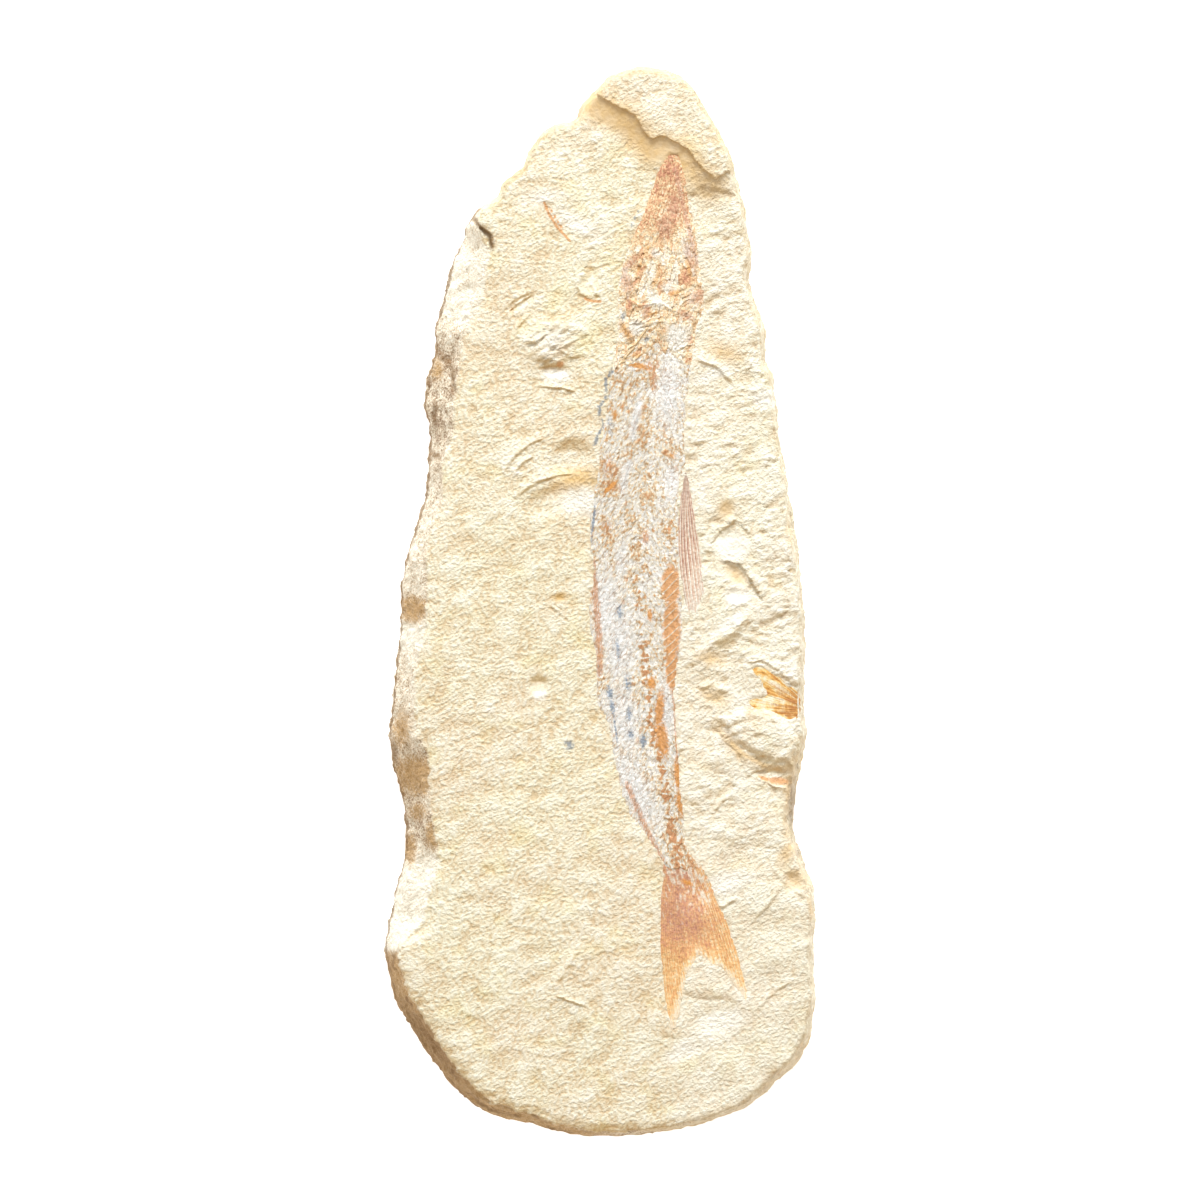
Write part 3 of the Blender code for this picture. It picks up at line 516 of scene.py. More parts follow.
RIPPLES = grain(1.8, 1.4, 28, 2.5)
STEEP_RIPPLES = grain(2.2, 1.3, 52, 3.5)
SMALL_RIPPLES = grain(1.1, 0.9, 30, 8.5)
WRINKLES = grain(2.6, 1.9, 24, 5.5)
BROAD = grain(9, 6, 20, 4.5)
SWALE = grain(6, 3.6, 28, 14.5)
KNOBS = grain(0.9, 1.2, 0, 21.5)
SCALES = grain(0.4, 0.6, 0, 31.5)
FOLDS = grain(0.9, 4, 0, 41.5)
BLOTCHES = grain(2.6, 4, 0, 51.5)


def roughness_at(x, y):
    """0 on the quiet parts of the face, 1 where it is torn. The flake at the top is quiet."""
    torn = np.max([ease(1.4, 0.6, oval(x, y, part)) for part in TORN_PARTS], axis=0)
    above = y - np.interp(x, *zip(*FLAKE_EDGE))
    right_half = (0.8 + 0.45 * ease(-60, -45, y) * ease(44, 30, y)) * ease(6, 26, x)
    untorn = right_half * ease(-80, -50, y) * (1 - torn)
    return (untorn + 0.9 * torn) * ease(1, -1, above * (x > -4))


def stone_grain(x, y):
    """The split stone's own texture: fine ripples on the left, coarser wrinkles elsewhere."""
    drift = 0.9 * lumps(x / 5, y / 5, 1.5)
    rough = roughness_at(x, y)
    steep = ease(-10, 20, x - 0.3 * y)
    fine = RIPPLES(x, y + drift) * (1 - steep) + STEEP_RIPPLES(x + drift, y) * steep
    fine = 0.8 * fine + 0.8 * SMALL_RIPPLES(x, y)
    lean, border, _ = splinters(x + drift, y, 2.6, 1.8, 30, 6.5)
    plates = splinters(x + 2 * drift, y - drift, 4.6, 3.2, 36, 16.5)[0]
    coarse = abs(WRINKLES(x, y + drift)) * 1.3 - 0.3 + 0.7 * lean + 0.5 * border
    strength = (0.8 + 0.8 * BROAD(x, y)) * (0.95 - 0.5 * ease(4, 20, x) * ease(-56, -74, y))
    ripple = RIPPLE * fine * (1.3 - 0.3 * rough)
    torn = WRINKLE * coarse * (0.15 + 0.85 * rough) + FACET * plates * (0.15 + 0.85 * rough)
    return strength * (ripple + torn) + 0.2 * SWALE(x, y)


def quiet_at(x, y):
    """1 where the stone is smooth: in the hollows, and on the band under the flake."""
    found = np.max([ease(1.1, 0.6, oval(x, y, RELIEF[name])) for name in SMOOTH_HOLLOWS], axis=0)
    under = np.interp(x, *zip(*FLAKE_EDGE)) - y
    band = ease(0, 0.6, under) * ease(7.5, 4.5, under) * (x > -4) * ease(26, 20, x)
    return np.maximum(0.6 * found, band)


def rim_loop():
    """The outline of the split face: the foot's, moved in by each wall's run."""
    rim = []
    for k, (x, y, run) in enumerate(OUTLINE):
        before, after = OUTLINE[k - 1], OUTLINE[(k + 1) % len(OUTLINE)]
        way = Vector((after[1] - before[1], before[0] - after[0])).normalized()
        rim.append((x + way.x * run, y + way.y * run))
    return rim


def spot_strength(x, y, spots):
    """A stain's strength, 0.5 at its border. One that has a peak under 1 is fainter."""
    best = np.zeros(x.shape)
    for shape in spots:
        peak = shape[5] if len(shape) > 5 else 1
        best = np.maximum(best, peak - oval(x, y, shape) / 2)
    return best


# ---------------------------------------------------------------- the fish's plan


def row_slant(y):
    """How far a row of the fish falls back towards the tail, for each mm off the spine."""
    return 0.75 * ease(TAIL_ROOT, TAIL_ROOT + 24, y) * (1 - ease(72, 92, y))


def on_fish(across, y):
    """The point across a row of the fish: 0 is its left edge, 0.5 the spine, 1 its right edge."""
    left, spine, right = read_table(FISH, y)
    outward = abs(across - 0.5) * 2
    x = spine + (np.where(across < 0.5, left, right) - spine) * outward
    y = y - row_slant(y) * abs(x - spine)
    x = x + outward**3 * 0.5 * lumps(y / 1.7, 3.0 * (across > 0.5), 6)
    return x, y, spine


def on_fan(base, ends, bulge, across, along):
    """The point at a share across and along a fin, whose two sides bow out by the bulge."""
    share = across * (len(ends) - 1)
    start = np.outer(1 - across, base[0]) + np.outer(across, base[1])
    ends = np.array(ends, float)
    end = np.stack([np.interp(share, range(len(ends)), ends[:, k]) for k in (0, 1)], axis=1)
    bow = (bulge[0] + (bulge[1] - bulge[0]) * across) * np.sin(np.pi * np.clip(along, 0, 1)) ** 0.8
    way = end - start
    side = np.stack([way[:, 1], -way[:, 0]], axis=1) / np.linalg.norm(way, axis=1)[:, None]
    point = start + way * along[:, None] - side * bow[:, None]
    return point[:, 0], point[:, 1]


def fish_loops():
    """The outlines of the fish's pieces in plan."""
    rows = np.arange(FISH[-1][0], FISH[0][0] + 0.5, 1.0)
    ones = np.ones(len(rows))
    left, right = on_fish(0 * ones, rows)[:2], on_fish(ones, rows)[:2]
    loops = [[*zip(*left)] + [*zip(*right)][::-1]]
    sides = np.linspace(0, 1, 13)
    across = np.concatenate([0 * sides, np.linspace(0, 1, 41), 0 * sides + 1])
    along = np.concatenate([sides, np.ones(41), sides[::-1]])
    for fin in (TAIL, DORSAL, SCRAP):
        loop = [*zip(*on_fan(*fin, across, along))]
        loops.append([spot for spot, after in zip(loop, loop[1:] + loop[:1]) if spot != after])
    return loops


# ---------------------------------------------------------------- materials


def linear(text):
    """An sRGB hex colour as a linear RGBA tuple."""
    parts = [int(text[k : k + 2], 16) / 255 for k in (1, 3, 5)]
    return (*(c / 12.92 if c <= 0.04045 else ((c + 0.055) / 1.055) ** 2.4 for c in parts), 1)


def add(tree, kind, settings, inputs):
    """Adds one node with its settings, and gives each input a value or a link."""
    made = tree.nodes.new(kind)
    for key, value in settings.items():
        setattr(made, key, value)
    for key, value in inputs.items():
        if isinstance(value, bpy.types.NodeSocket):
            tree.links.new(value, made.inputs[key])
        else:
            made.inputs[key].default_value = value
    return made


def start_material(name, roughness, ior):
    """A new Principled material, with its node tree and shader."""
    material = bpy.data.materials.new(name)
    material.use_nodes = True
    tree = material.node_tree
    shader = tree.nodes["Principled BSDF"]
    shader.inputs["Roughness"].default_value = roughness
    shader.inputs["IOR"].default_value = ior
    return material, tree, shader


def speckle(tree, place, size, strength, stretch=(1, 1, 1), detail=3):
    """Noise about zero, with its lumps a size in mm, drawn out along an axis by stretch."""
    spread = [1 / (size * MM * s) for s in stretch]
    mapped = add(tree, "ShaderNodeVectorMath", {"operation": "MULTIPLY"}, {0: place, 1: spread})
    made = add(tree, "ShaderNodeTexNoise", {}, {"Vector": mapped.outputs[0], "Scale": 1, "Detail": detail})
    centred = add(tree, "ShaderNodeMath", {"operation": "SUBTRACT"}, {0: made.outputs["Fac"], 1: 0.5})
    scaled = {0: centred.outputs[0], 1: strength}
    return add(tree, "ShaderNodeMath", {"operation": "MULTIPLY"}, scaled).outputs[0]


def mixed(tree, factor, a, b, blend="MIX"):
    """Colour b over colour a by the factor, or multiplied in."""
    settings = {"data_type": "RGBA", "blend_type": blend}
    return add(tree, "ShaderNodeMix", settings, {0: factor, 6: a, 7: b}).outputs[2]


def over(tree, amount, low, high):
    """0 where amount is under low, 1 where it is over high, smooth between."""
    settings = {"interpolation_type": "SMOOTHSTEP"}
    span = {"Value": amount, "From Min": low, "From Max": high}
    return add(tree, "ShaderNodeMapRange", settings, span).outputs[0]


def mark(tree, name, output="Fac"):
    """What the mesh stores under the name at each point."""
    return add(tree, "ShaderNodeAttribute", {"attribute_name": name}, {}).outputs[output]


def summed(tree, *terms):
    total = terms[0]
    for term in terms[1:]:
        total = add(tree, "ShaderNodeMath", {"operation": "ADD"}, {0: total, 1: term}).outputs[0]
    return total


def laid_over(tree, colour, layers, place):
    """Lays each named stain over the colour, with its border broken up by a speckle."""
    for name, shade, size, breakup, soft, cover, *stretch in layers:
        strength = mark(tree, name)
        torn = {0: strength, 1: speckle(tree, place, size, breakup, *stretch), 2: strength}
        total = add(tree, "ShaderNodeMath", {"operation": "MULTIPLY_ADD"}, torn).outputs[0]
        settings = {"interpolation_type": "SMOOTHSTEP"}
        span = {"Value": total, "From Min": 0.5 - soft, "From Max": 0.5 + soft, "To Max": cover}
        amount = add(tree, "ShaderNodeMapRange", settings, span).outputs[0]
        colour = mixed(tree, amount, colour, linear(shade))
    return colour


def shaded(tree, value, stops):
    """A colour for each value, blended between the stops' sRGB colours."""
    made = add(tree, "ShaderNodeValToRGB", {}, {"Fac": value})
    ramp = made.color_ramp
    while len(ramp.elements) < len(stops):
        ramp.elements.new(1)
    for element, (place, shade) in zip(ramp.elements, stops):
        element.position = place
        element.color = linear(shade)
    return made.outputs[0]


def bump(tree, shader, height, distance):
    """Fine relief, its heights times a distance in mm."""
    inputs = {"Height": height, "Distance": distance * MM}
    tree.links.new(add(tree, "ShaderNodeBump", {}, inputs).outputs[0], shader.inputs["Normal"])


def tinted(tree, factor, colour, shade):
    """The colour multiplied by a shade, as far as the factor says."""
    return mixed(tree, factor, colour, mixed(tree, 1.0, colour, shade, "MULTIPLY"))


def limestone():
    """Lithographic limestone, split along its bedding: matt, cream, with tan in its hollows. Painted shade
    darkens what turns from the light or falls away, and painted light whitens some lit pits and slopes.
    """
    material, tree, shader = start_material("limestone_split", 0.9, 1.5)
    place = add(tree, "ShaderNodeTexCoord", {}, {}).outputs["Object"]
    turning = {"Vector": place, "Angle": -0.55}
    turned = add(tree, "ShaderNodeVectorRotate", {"rotation_type": "Z_AXIS"}, turning).outputs[0]
    grains = speckle(tree, turned, 0.75, 1.5, (1.2, 1, 1), detail=4)
    pits = speckle(tree, turned, 3.2, 0.8, (1.3, 1, 1), detail=2)
    grained = {0: summed(tree, grains, pits), 1: mark(tree, "grained")}
    relief = add(tree, "ShaderNodeMath", {"operation": "MULTIPLY"}, grained).outputs[0]
    height = summed(tree, relief, mark(tree, "hollow"))
    stops = ((0.2, "#E2CCAA"), (0.42, "#EEE2C9"), (0.6, "#F5EFDC"), (0.85, "#FAF7EC"))
    colour = shaded(tree, height, stops)
    broad = over(tree, speckle(tree, place, 26, 1, detail=4), -0.16, 0.16)
    cloud = mixed(tree, broad, linear("#FCFEFA"), linear("#FCFBF9"))
    colour = mixed(tree, 1.0, colour, cloud, "MULTIPLY")
    yellow = over(tree, speckle(tree, place, 9, 1, detail=4), 0.02, 0.2)
    colour = tinted(tree, yellow, colour, linear("#FFFDF0"))
    # Painted shade: sides turned from the light, the rim and steep faces inside the rim are multiplied
    # darker and more golden.
    for name, shade in (("painted_shade_lee", "#F2E0C2"), ("rim", "#E0D8C6"), ("painted_shade_cliff", "#F2D4A0")):
        colour = tinted(tree, mark(tree, name), colour, linear(shade))
    colour = mixed(tree, mark(tree, "wall"), colour, broken_wall(tree, place))
    layers = (
        # tan is partly painted shade under the flake, along the leaf's edge and in shaded pits and hollows,
        # and partly tan facets at the rim
        ("tan", "#DDB878", 1.4, 0.5, 0.45, 0.9),
        ("gold", "#BE9862", 0.8, 1.3, 0.22, 0.8, (0.5, 3, 1)),
        # umber is partly painted shadow along the slab's foot and under the notch at the top left, and
        # partly brown on the walls
        ("umber", "#8C6C46", 1.2, 1.0, 0.35, 0.8, (0.7, 2, 1)),
        # chalk is partly painted light on lit pit floors, bowls and slopes, and partly bleached stone
        ("chalk", "#FBF8EE", 2.0, 0.8, 0.3, 0.9),
        ("amber", "#DCA068", 0.8, 0.8, 0.2, 0.85),
        ("slate", "#7E8A98", 0.7, 2.8, 0.3, 0.8),
    )
    tree.links.new(laid_over(tree, colour, layers, turned), shader.inputs["Base Color"])
    bump(tree, shader, relief, 0.52)
    return material


def broken_wall(tree, place):
    """The colour of the weathered left wall: cream, peppered with brown where it is not pale."""
    peppered = speckle(tree, place, 0.5, 1.7, detail=4)
    stops = ((0.2, "#A08670"), (0.38, "#D2BFA4"), (0.55, "#EBE0CC"), (0.8, "#F8F3E4"))
    return shaded(tree, summed(tree, peppered, mark(tree, "pale")), stops)


def fish_material(name, stops, streak, blotch, layers, relief, depth):
    """Fossil skin or bone: one value, made of the piece's warmth, streaks along its grain and
    fine blotches, picks the shade; stains are laid over, with a fine relief."""
    material, tree, shader = start_material(name, 0.6, 1.5)
    place = add(tree, "ShaderNodeTexCoord", {}, {}).outputs["Object"]
    lay = mark(tree, "lay", "Vector")
    streaks, blotches = speckle(tree, lay, *streak), speckle(tree, place, *blotch)
    value = summed(tree, mark(tree, "warm"), streaks, blotches)
    colour = laid_over(tree, shaded(tree, value, stops), layers, place)
    tree.links.new(colour, shader.inputs["Base Color"])
    relief = summed(tree, speckle(tree, lay, *relief), speckle(tree, place, 0.7, 1.1, detail=4))
    bump(tree, shader, relief, depth)
    return material


def crushed_bone():
    """Flattened skull bone: chalky cream splinters, rust at the snout, amber where it is glassy."""
    stops = ((0.0, "#FEFBF2"), (0.3, "#FAF0DA"), (0.5, "#F2D8AE"), (0.7, "#E4B68C"), (0.95, "#CB9074"))
    layers = (
        ("rust", "#CE9A86", 0.6, 1.8, 0.4, 0.55),
        ("amber", "#E6B06C", 0.8, 1.2, 0.4, 0.85),
        ("slate", "#8E9499", 0.5, 2.6, 0.3, 0.8),
        ("chalk", "#F6F4EC", 0.9, 1.2, 0.3, 0.85),
        ("pale", "#EBCFA2", 0.5, 0.5, 0.3, 0.9),
        ("crack", "#A9805F", 0.5, 1.0, 0.25, 0.6),
    )
    streak, relief = (0.5, 0.55, (0.8, 3, 1)), (0.5, 1, (0.8, 3, 1))
    return fish_material("fossil_bone_crushed", stops, streak, (0.4, 0.9), layers, relief, 0.5)


def skin_film():
    """Mineral film after the fish's skin: off-white flakes with blue-grey stains over brown ribs."""
    stops = ((0.0, "#FFFEFA"), (0.3, "#FCF8EC"), (0.46, "#F4E6CC"), (0.64, "#E5C49A"), (0.9, "#D9A074"))
    layers = (
        ("film", "#FCFEFF", 0.7, 1.6, 0.4, 0.85),
        ("crack", "#B08862", 0.5, 1.0, 0.3, 0.5),
        ("rust", "#D99C6E", 0.35, 4.2, 0.3, 0.75, (0.6, 3, 1)),
        ("muscle", "#EBAE74", 0.8, 0.7, 0.12, 0.95),
        ("amber", "#EBA556", 0.6, 1.2, 0.2, 0.9),
        ("slate", "#7F98B4", 0.5, 2.6, 0.3, 0.8),
        ("thread", "#F4E8D2", 0.5, 0.7, 0.15, 0.9),
    )
    streak, relief = (0.5, 0.7, (1.4, 0.6, 1)), (0.45, 1, (1.5, 0.6, 1))
    return fish_material("fossil_skin_film", stops, streak, (0.7, 1.1), layers, relief, 0.42)


def fin_rays(name, stops):
    """Fossil fin rays: fine streaks from pale cream to reddish brown along each ray."""
    layers = (
        ("plum", "#C4928A", 0.45, 1.6, 0.4, 0.75),
        ("chalk", "#F8EEDD", 0.5, 1.6, 0.25, 0.9),
        ("amber", "#EFA650", 0.7, 0.9, 0.2, 0.9),
        ("rust", "#C98A4E", 0.4, 1.4, 0.25, 0.75, (0.5, 5, 1)),
    )
    streak, relief = (0.45, 1.1, (0.5, 5, 1)), (0.4, 1, (0.5, 5, 1))
    return fish_material(name, stops, streak, (0.8, 0.8), layers, relief, 0.3)


# ---------------------------------------------------------------- pieces


def keep(name, bm, material, node):
    """Makes the bmesh one named piece that stands for a CAD node."""
    for face in bm.faces:
        face.smooth = True
    mesh = bpy.data.meshes.new(name)
    bm.to_mesh(mesh)
    bm.free()
    piece = bpy.data.objects.new(name, mesh)
    mesh.materials.append(material)
    bpy.context.scene.collection.objects.link(piece)
    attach(piece, "root")
    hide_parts(node)
    return mesh


def points_of(bm):
    """The x, y and z of every vertex."""
    return np.array([vert.co.to_tuple() for vert in bm.verts]).T


def move_points(bm, *columns):
    """Puts every vertex at its x, y and z in mm."""
    for vert, place in zip(bm.verts, (np.stack(columns, axis=1) * MM).tolist()):
        vert.co = place


def mark_points(mesh, marks):
    """Stores each mark's strength at every vertex."""
    for name, values in marks.items():
        layer = mesh.attributes.new(name, "FLOAT", "POINT")
        layer.data.foreach_set("value", np.ascontiguousarray(values, np.float32))


def remeshed_slab():
    """The slab with the fish's bed filled, as an even mesh of four-sided faces."""
    bm = bmesh.new()
    bm.from_mesh(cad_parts["slab"].data)
    bmesh.ops.remove_doubles(bm, verts=bm.verts, dist=1e-6)
    for vert in bm.verts:
        if abs(vert.co.z - BED_FLOOR * MM) < 3e-5:
            vert.co.z = (FACE - 0.3) * MM
    stretch = ACROSS_PITCH / ALONG_PITCH
    bmesh.ops.scale(bm, vec=(1, stretch, 1), verts=bm.verts)
    mesh = bpy.data.meshes.new("slab_blank")
    bm.to_mesh(mesh)
    bm.free()
    blank = bpy.data.objects.new("slab_blank", mesh)
    bpy.context.scene.collection.objects.link(blank)
    remesh = blank.modifiers.new("even", "REMESH")
    remesh.mode = "VOXEL"
    remesh.voxel_size = ACROSS_PITCH * MM
    even = bpy.data.meshes.new_from_object(blank.evaluated_get(bpy.context.evaluated_depsgraph_get()))
    bpy.data.objects.remove(blank)
    bm = bmesh.new()
    bm.from_mesh(even)
    bmesh.ops.scale(bm, vec=(1, 1 / stretch, 1), verts=bm.verts)
    bpy.data.meshes.remove(even)
    bm.normal_update()
    return bm


def refine(bm, wanted):
    """Divides into four each face whose middle and slope are wanted."""
    faces = bm.faces[:]
    centres = np.array([face.calc_center_median().to_tuple() for face in faces]).T / MM
    rise = np.array([face.normal.z for face in faces])
    edges = set()
    for face, chosen in zip(faces, wanted(*centres, rise)):
        if chosen:
            edges.update(face.edges)
    bmesh.ops.subdivide_edges(bm, edges=list(edges), cuts=1, use_grid_fill=True)
    bm.normal_update()


def close_back(bm):
    """One flat face for the slab's back."""
    low = [face for face in bm.faces if face.normal.z < -0.9 and face.calc_center_median().z < 0.2 * MM]
    bmesh.ops.dissolve_faces(bm, faces=low)


def open_top(x, y, z, rise):
    """The split face and the sloping walls, apart from what the fish hides."""
    return (rise > 0.25) & (z > 3) & (depth_inside(x, y, fish_loops()[0]) < 1.5)


def beside_edges(x, y, z, rise):
    """The split face close to its broken edges."""
    found = np.zeros(x.shape, bool)
    for points, _, left, right in EDGES:
        near = around(points, x, y, 1.4)
        off = beside_line(points, x[near], y[near])[0]
        found[near] |= (off > -0.3 - min(right, 1.1)) & (off < 0.3 + min(left, 1.1))
    along_flake = abs(beside_line(FLAKE_EDGE, x, y)[0]) < 0.7
    return (found | along_flake) & (rise > 0.3) & (z > 14)


def face_level(x, y, from_fish):
    """The height of the split face: the stone's form, its own grain, and sunk under the fish."""
    edges = broken_edges(x, y, EDGES)
    level = FACE + swelling(x, y) + hollow_or_lump(x, y) * ease(1.5, -1, from_fish)
    level += (ledges(x, y) + edges) * ease(0.6, 0, from_fish)
    wrinkled = ease(1.15, 0.6, oval(x, y, RELIEF["wrinkled_lump"]))
    level += wrinkled * (0.55 * splinters(x, y, 4, 1.2, 42, 24.5)[0] + 0.2 * FOLDS(y - x, x + y))
    own = stone_grain(x, y) * ease(1.2, -0.6, from_fish)
    own *= (1 - 0.75 * ease(0.1, 0.9, edges)) * (1 - 0.7 * quiet_at(x, y))
    return level + own - SUNK * ease(0.25, 1.0, from_fish), own


def slab():
    """Gives the split face its exact heights, sinks it under the fish, and roughens the walls."""
    bm = remeshed_slab()
    close_back(bm)
    refine(bm, open_top)
    refine(bm, beside_edges)
    x, y, z = points_of(bm) / MM
    from_rim = depth_inside(x, y, rim_loop())
    from_rim += 0.6 * lumps(x / 2.4, y / 2.4, 13) + 0.4 * lumps(x / 0.9, y / 0.9, 14)
    top = ease(-0.5, 0.9, from_rim) * (z > 10)
    left_side = ease(30, 0, x) * ease(104, 92, y)
    level, own = face_level(x, y, np.max([depth_inside(x, y, loop) for loop in fish_loops()], axis=0))
    level -= (RIM_WEAR + LEFT_RIM_WEAR * left_side) * ease(1.2 + 1.4 * left_side, 0, from_rim)
    rough = 0.5 * lumps(x / 2.2, y / 2.2, z / 1.6) + 0.35 * lumps(x / 0.9, y / 0.9, z / 0.9)
    rough *= (1 - top) * (z > 0.3)
    nx, ny, nz = np.array([vert.normal.to_tuple() for vert in bm.verts]).T
    z = np.maximum(z + (level - z) * top + nz * rough, 0)
    move_points(bm, x + nx * rough, y + ny * rough, z)
    bm.normal_update()
    slope, rise = np.array([vert.normal.yz.to_tuple() for vert in bm.verts]).T
    mesh = keep("limestone_slab", bm, limestone(), "slab")
    marks = stains(x, y, STONE_SPOTS, STONE_STREAKS)
    marks["hollow"] = 0.5 + (own * 0.9 + 0.1 * roughness_at(x, y)) * (top > 0) + 0.6 * rough
    mark_stone(marks, x, y, z, from_rim)
    mark_rims(marks, x, y, z, from_rim, left_side, slope, rise)
    mark_left_wall(marks, x, y, z, from_rim, left_side)
    mark_points(mesh, marks)


def mark_stone(marks, x, y, z, from_rim):
    """Where the stone is bleached, painted brown towards its foot as the shadow under the slab, or tan."""
    bleached = 0.34 * np.maximum(ease(6, 26, x), ease(96, 114, y))
    bleached += 0.06 * roughness_at(x, y) + 0.1 * ease(4, 20, x) * ease(-50, -80, y)
    marks["chalk"] = np.maximum(marks["chalk"], bleached) * ease(0.5, 6, z)
    inner = ease(0.4, -0.4, from_rim - 3 * (y > 86))
    # Painted shadow: the walls turn brown towards the floor.
    marks["umber"] = np.maximum(marks["umber"] * inner, 0.66 * ease(5, 0.5, z))
    right_wall = ease(38, 44, x) * ease(8, 14, z)
    marks["tan"] *= np.maximum(ease(-2, 0.4, from_rim), right_wall)
    marks["grained"] = 1 - 0.7 * quiet_at(x, y)


def mark_rims(marks, x, y, z, from_rim, left_side, slope, rise):
    """Painted shade for what turns from the light or falls away: sides turned from the light, the rim where
    it slopes or faces the light, and steep faces inside the rim are tinted darker and golden.
    """
    # Painted shade on sides turned away from the light.
    marks["painted_shade_lee"] = ease(0.05, -0.5, slope)
    # Painted shade: the rim is painted darker where it slopes away and where it faces the light.
    mottled = 0.75 + 1.5 * lumps(x / 1.2, y / 1.2, z / 1.2 + 29)
    sloping = ease(0.95, 0.5, rise) * ease(1.6, 0.8, from_rim) * mottled
    sunward = ease(0.1, 0.5, slope) * ease(1.4, 0.6, from_rim)
    marks["rim"] = np.maximum(sloping, sunward) * (1 - left_side)
    # Painted shade on steep faces inside the rim.
    marks["painted_shade_cliff"] = ease(0.85, 0.5, rise) * ease(1, 3, from_rim)


def mark_left_wall(marks, x, y, z, from_rim, left_side):
    """The weathered wall: how pale it is, its gold stains, and brown bedding bands at its low end."""
    marks["pale"] = np.interp(y, *zip(*WALL_TONES)) + 0.24 * lumps(x / 3, y / 3, z / 2.4)
    marks["wall"] = np.where(z > 0.5, 1 - ease(-0.6, 0.2, from_rim), 1) * left_side
    low = marks["wall"] * ease(-85, -90, y) * ease(30, -20, x)
    marks["gold"] = np.maximum(marks["gold"] * marks["wall"], 0.9 * low)
    bands = 0.5 + 0.5 * np.cos(math.tau * (from_rim + 0.8 * lumps(x / 6, y / 6, 9)) / BEDDING)
    patchy = ease(-0.35, 0.1, lumps(x / 3.4, y / 3.4, 19))
    patchy *= ease(0.7, 1.3, oval(x, y, LIGHT_FACET))
    marks["umber"] = np.maximum(marks["umber"], low * (0.15 + 0.7 * bands * patchy))


def edge_dip(across, along, width, length):
    """Lets a piece's upper face run down into the stone at its edges. 0 leaves a pair of edges up."""
    inward = np.minimum(across, 1 - across) * width if np.any(width) else 9
    endward = np.minimum(along, 1 - along) * length if np.any(length) else 9
    return ease(0, 0.8, np.minimum(inward, endward))


def sheet(name, columns, rows, place, material, node, slot):
    """A thin closed piece of the fish. place turns the shares across and along it into
    x, y, the height over the face, the two ways its grain runs, and its marks."""
    bm = bmesh.new()
    bmesh.ops.create_grid(bm, x_segments=columns, y_segments=rows, size=0.5)
    rim = [edge for edge in bm.edges if edge.is_boundary]
    walls = bmesh.ops.extrude_edge_only(bm, edges=rim)["geom"]
    lower = [part for part in walls if isinstance(part, bmesh.types.BMVert)]
    bmesh.ops.translate(bm, verts=lower, vec=(0, 0, -1))
    base = [part for part in walls if isinstance(part, bmesh.types.BMEdge) and part.is_boundary]
    bmesh.ops.edgeloop_fill(bm, edges=base)
    across, along, level = points_of(bm)
    x, y, height, way, marks = place(across + 0.5, along + 0.5)
    z = np.where(level < 0, FACE - BED, FACE + swelling(x, y) + height)
    move_points(bm, x, y, z)
    bmesh.ops.recalc_face_normals(bm, faces=bm.faces[:])
    mesh = keep(name, bm, material, node)
    mark_points(mesh, marks)
    lay = mesh.attributes.new("lay", "FLOAT_VECTOR", "POINT")
    runs = np.stack([way[0], way[1], 0 * x], axis=1) * MM
    lay.data.foreach_set("vector", np.ascontiguousarray(runs.ravel(), np.float32))


def stains(x, y, tables, streaks=()):
    """The strength of each named stain, from its spots and its streaks."""
    found = {name: spot_strength(x, y, shapes) for name, shapes in tables.items()}
    for name, points, half_width in streaks:
        off = abs(beside_line(points, x, y)[0])
        found[name] = np.maximum(found.get(name, 0), 1 - off / half_width / 2)
    return found


def tones_at(x, y, tones):
    """How much browner each point is, or paler where negative."""
    return sum(amount * ease(1.2, 0.4, oval(x, y, shape)) for *shape, amount in tones)


def skull():
    """The crushed head: a low crown of blades that run out into the snout."""
    front = FISH[0][0]

    def place(across, along):
        ragged = 1.4 * lumps(across * 9, along * 0, 5) * ease(0.1, 0, along)
        x, y, spine = on_fish(across, SKULL_END - 1.6 + ragged + (front - SKULL_END + 1.6) * along)
        dip = edge_dip(across, 0.5 + along / 2, 14, 92) * ease(-0.004, 0.012, along)
        snout = ease(86, 98, y)
        fanned = (across - 0.5) * 16
        along_it = splinters(fanned + 0.15 * y, y, 2.6, 0.9, 78, 7.5)
        athwart = splinters(x, y, 2.2, 0.8, 32, 8.5)
        mix = ease(0.02, 0.1, BLOTCHES(x * 0.8, y * 0.6)) * ease(82, 74, y)
        lean, border, own = [a * (1 - mix) + b * mix for a, b in zip(along_it, athwart)]
        arch = np.sin(np.pi * along) ** 0.6
        crown = CROWN * np.clip(4 * across * (1 - across), 0, 1) ** 0.8 * (0.1 + 0.9 * arch)
        rough = (0.24 * lean + 0.2 * border) * (1 - 0.5 * snout) + 0.1 * FOLDS(fanned, y)
        rough += 0.12 * KNOBS(x, y) + 0.04 * SCALES(x, y)
        height = -TUCKED + dip * (SKIN + crown + rough + broken_edges(x, y, BLADES))
        marks = stains(x, y, BONE_SPOTS, BONE_STREAKS)
        flecks = 0.7 * SCALES(x, y) + 0.15 * KNOBS(x, y)
        broad = 0.3 * BLOTCHES(x, y) * (1 - 0.6 * snout) + 0.18 * own * (1 - 0.8 * snout)
        warm = tones_at(x, y, BONE_TONES) + 0.37 + 0.3 * snout + broad
        marks["warm"] = warm + flecks * (0.3 + 0.25 * snout) - 0.3 * rough
        marks["crack"] = ease(0.1, 0.01, border) * (0.7 + 0.9 * KNOBS(x + 9, y)) * (1 - 0.7 * snout)
        return x, y, height, (x - spine, y), marks

    sheet("skull_bones", 120, 340, place, crushed_bone(), "skull", "fossil_bone")


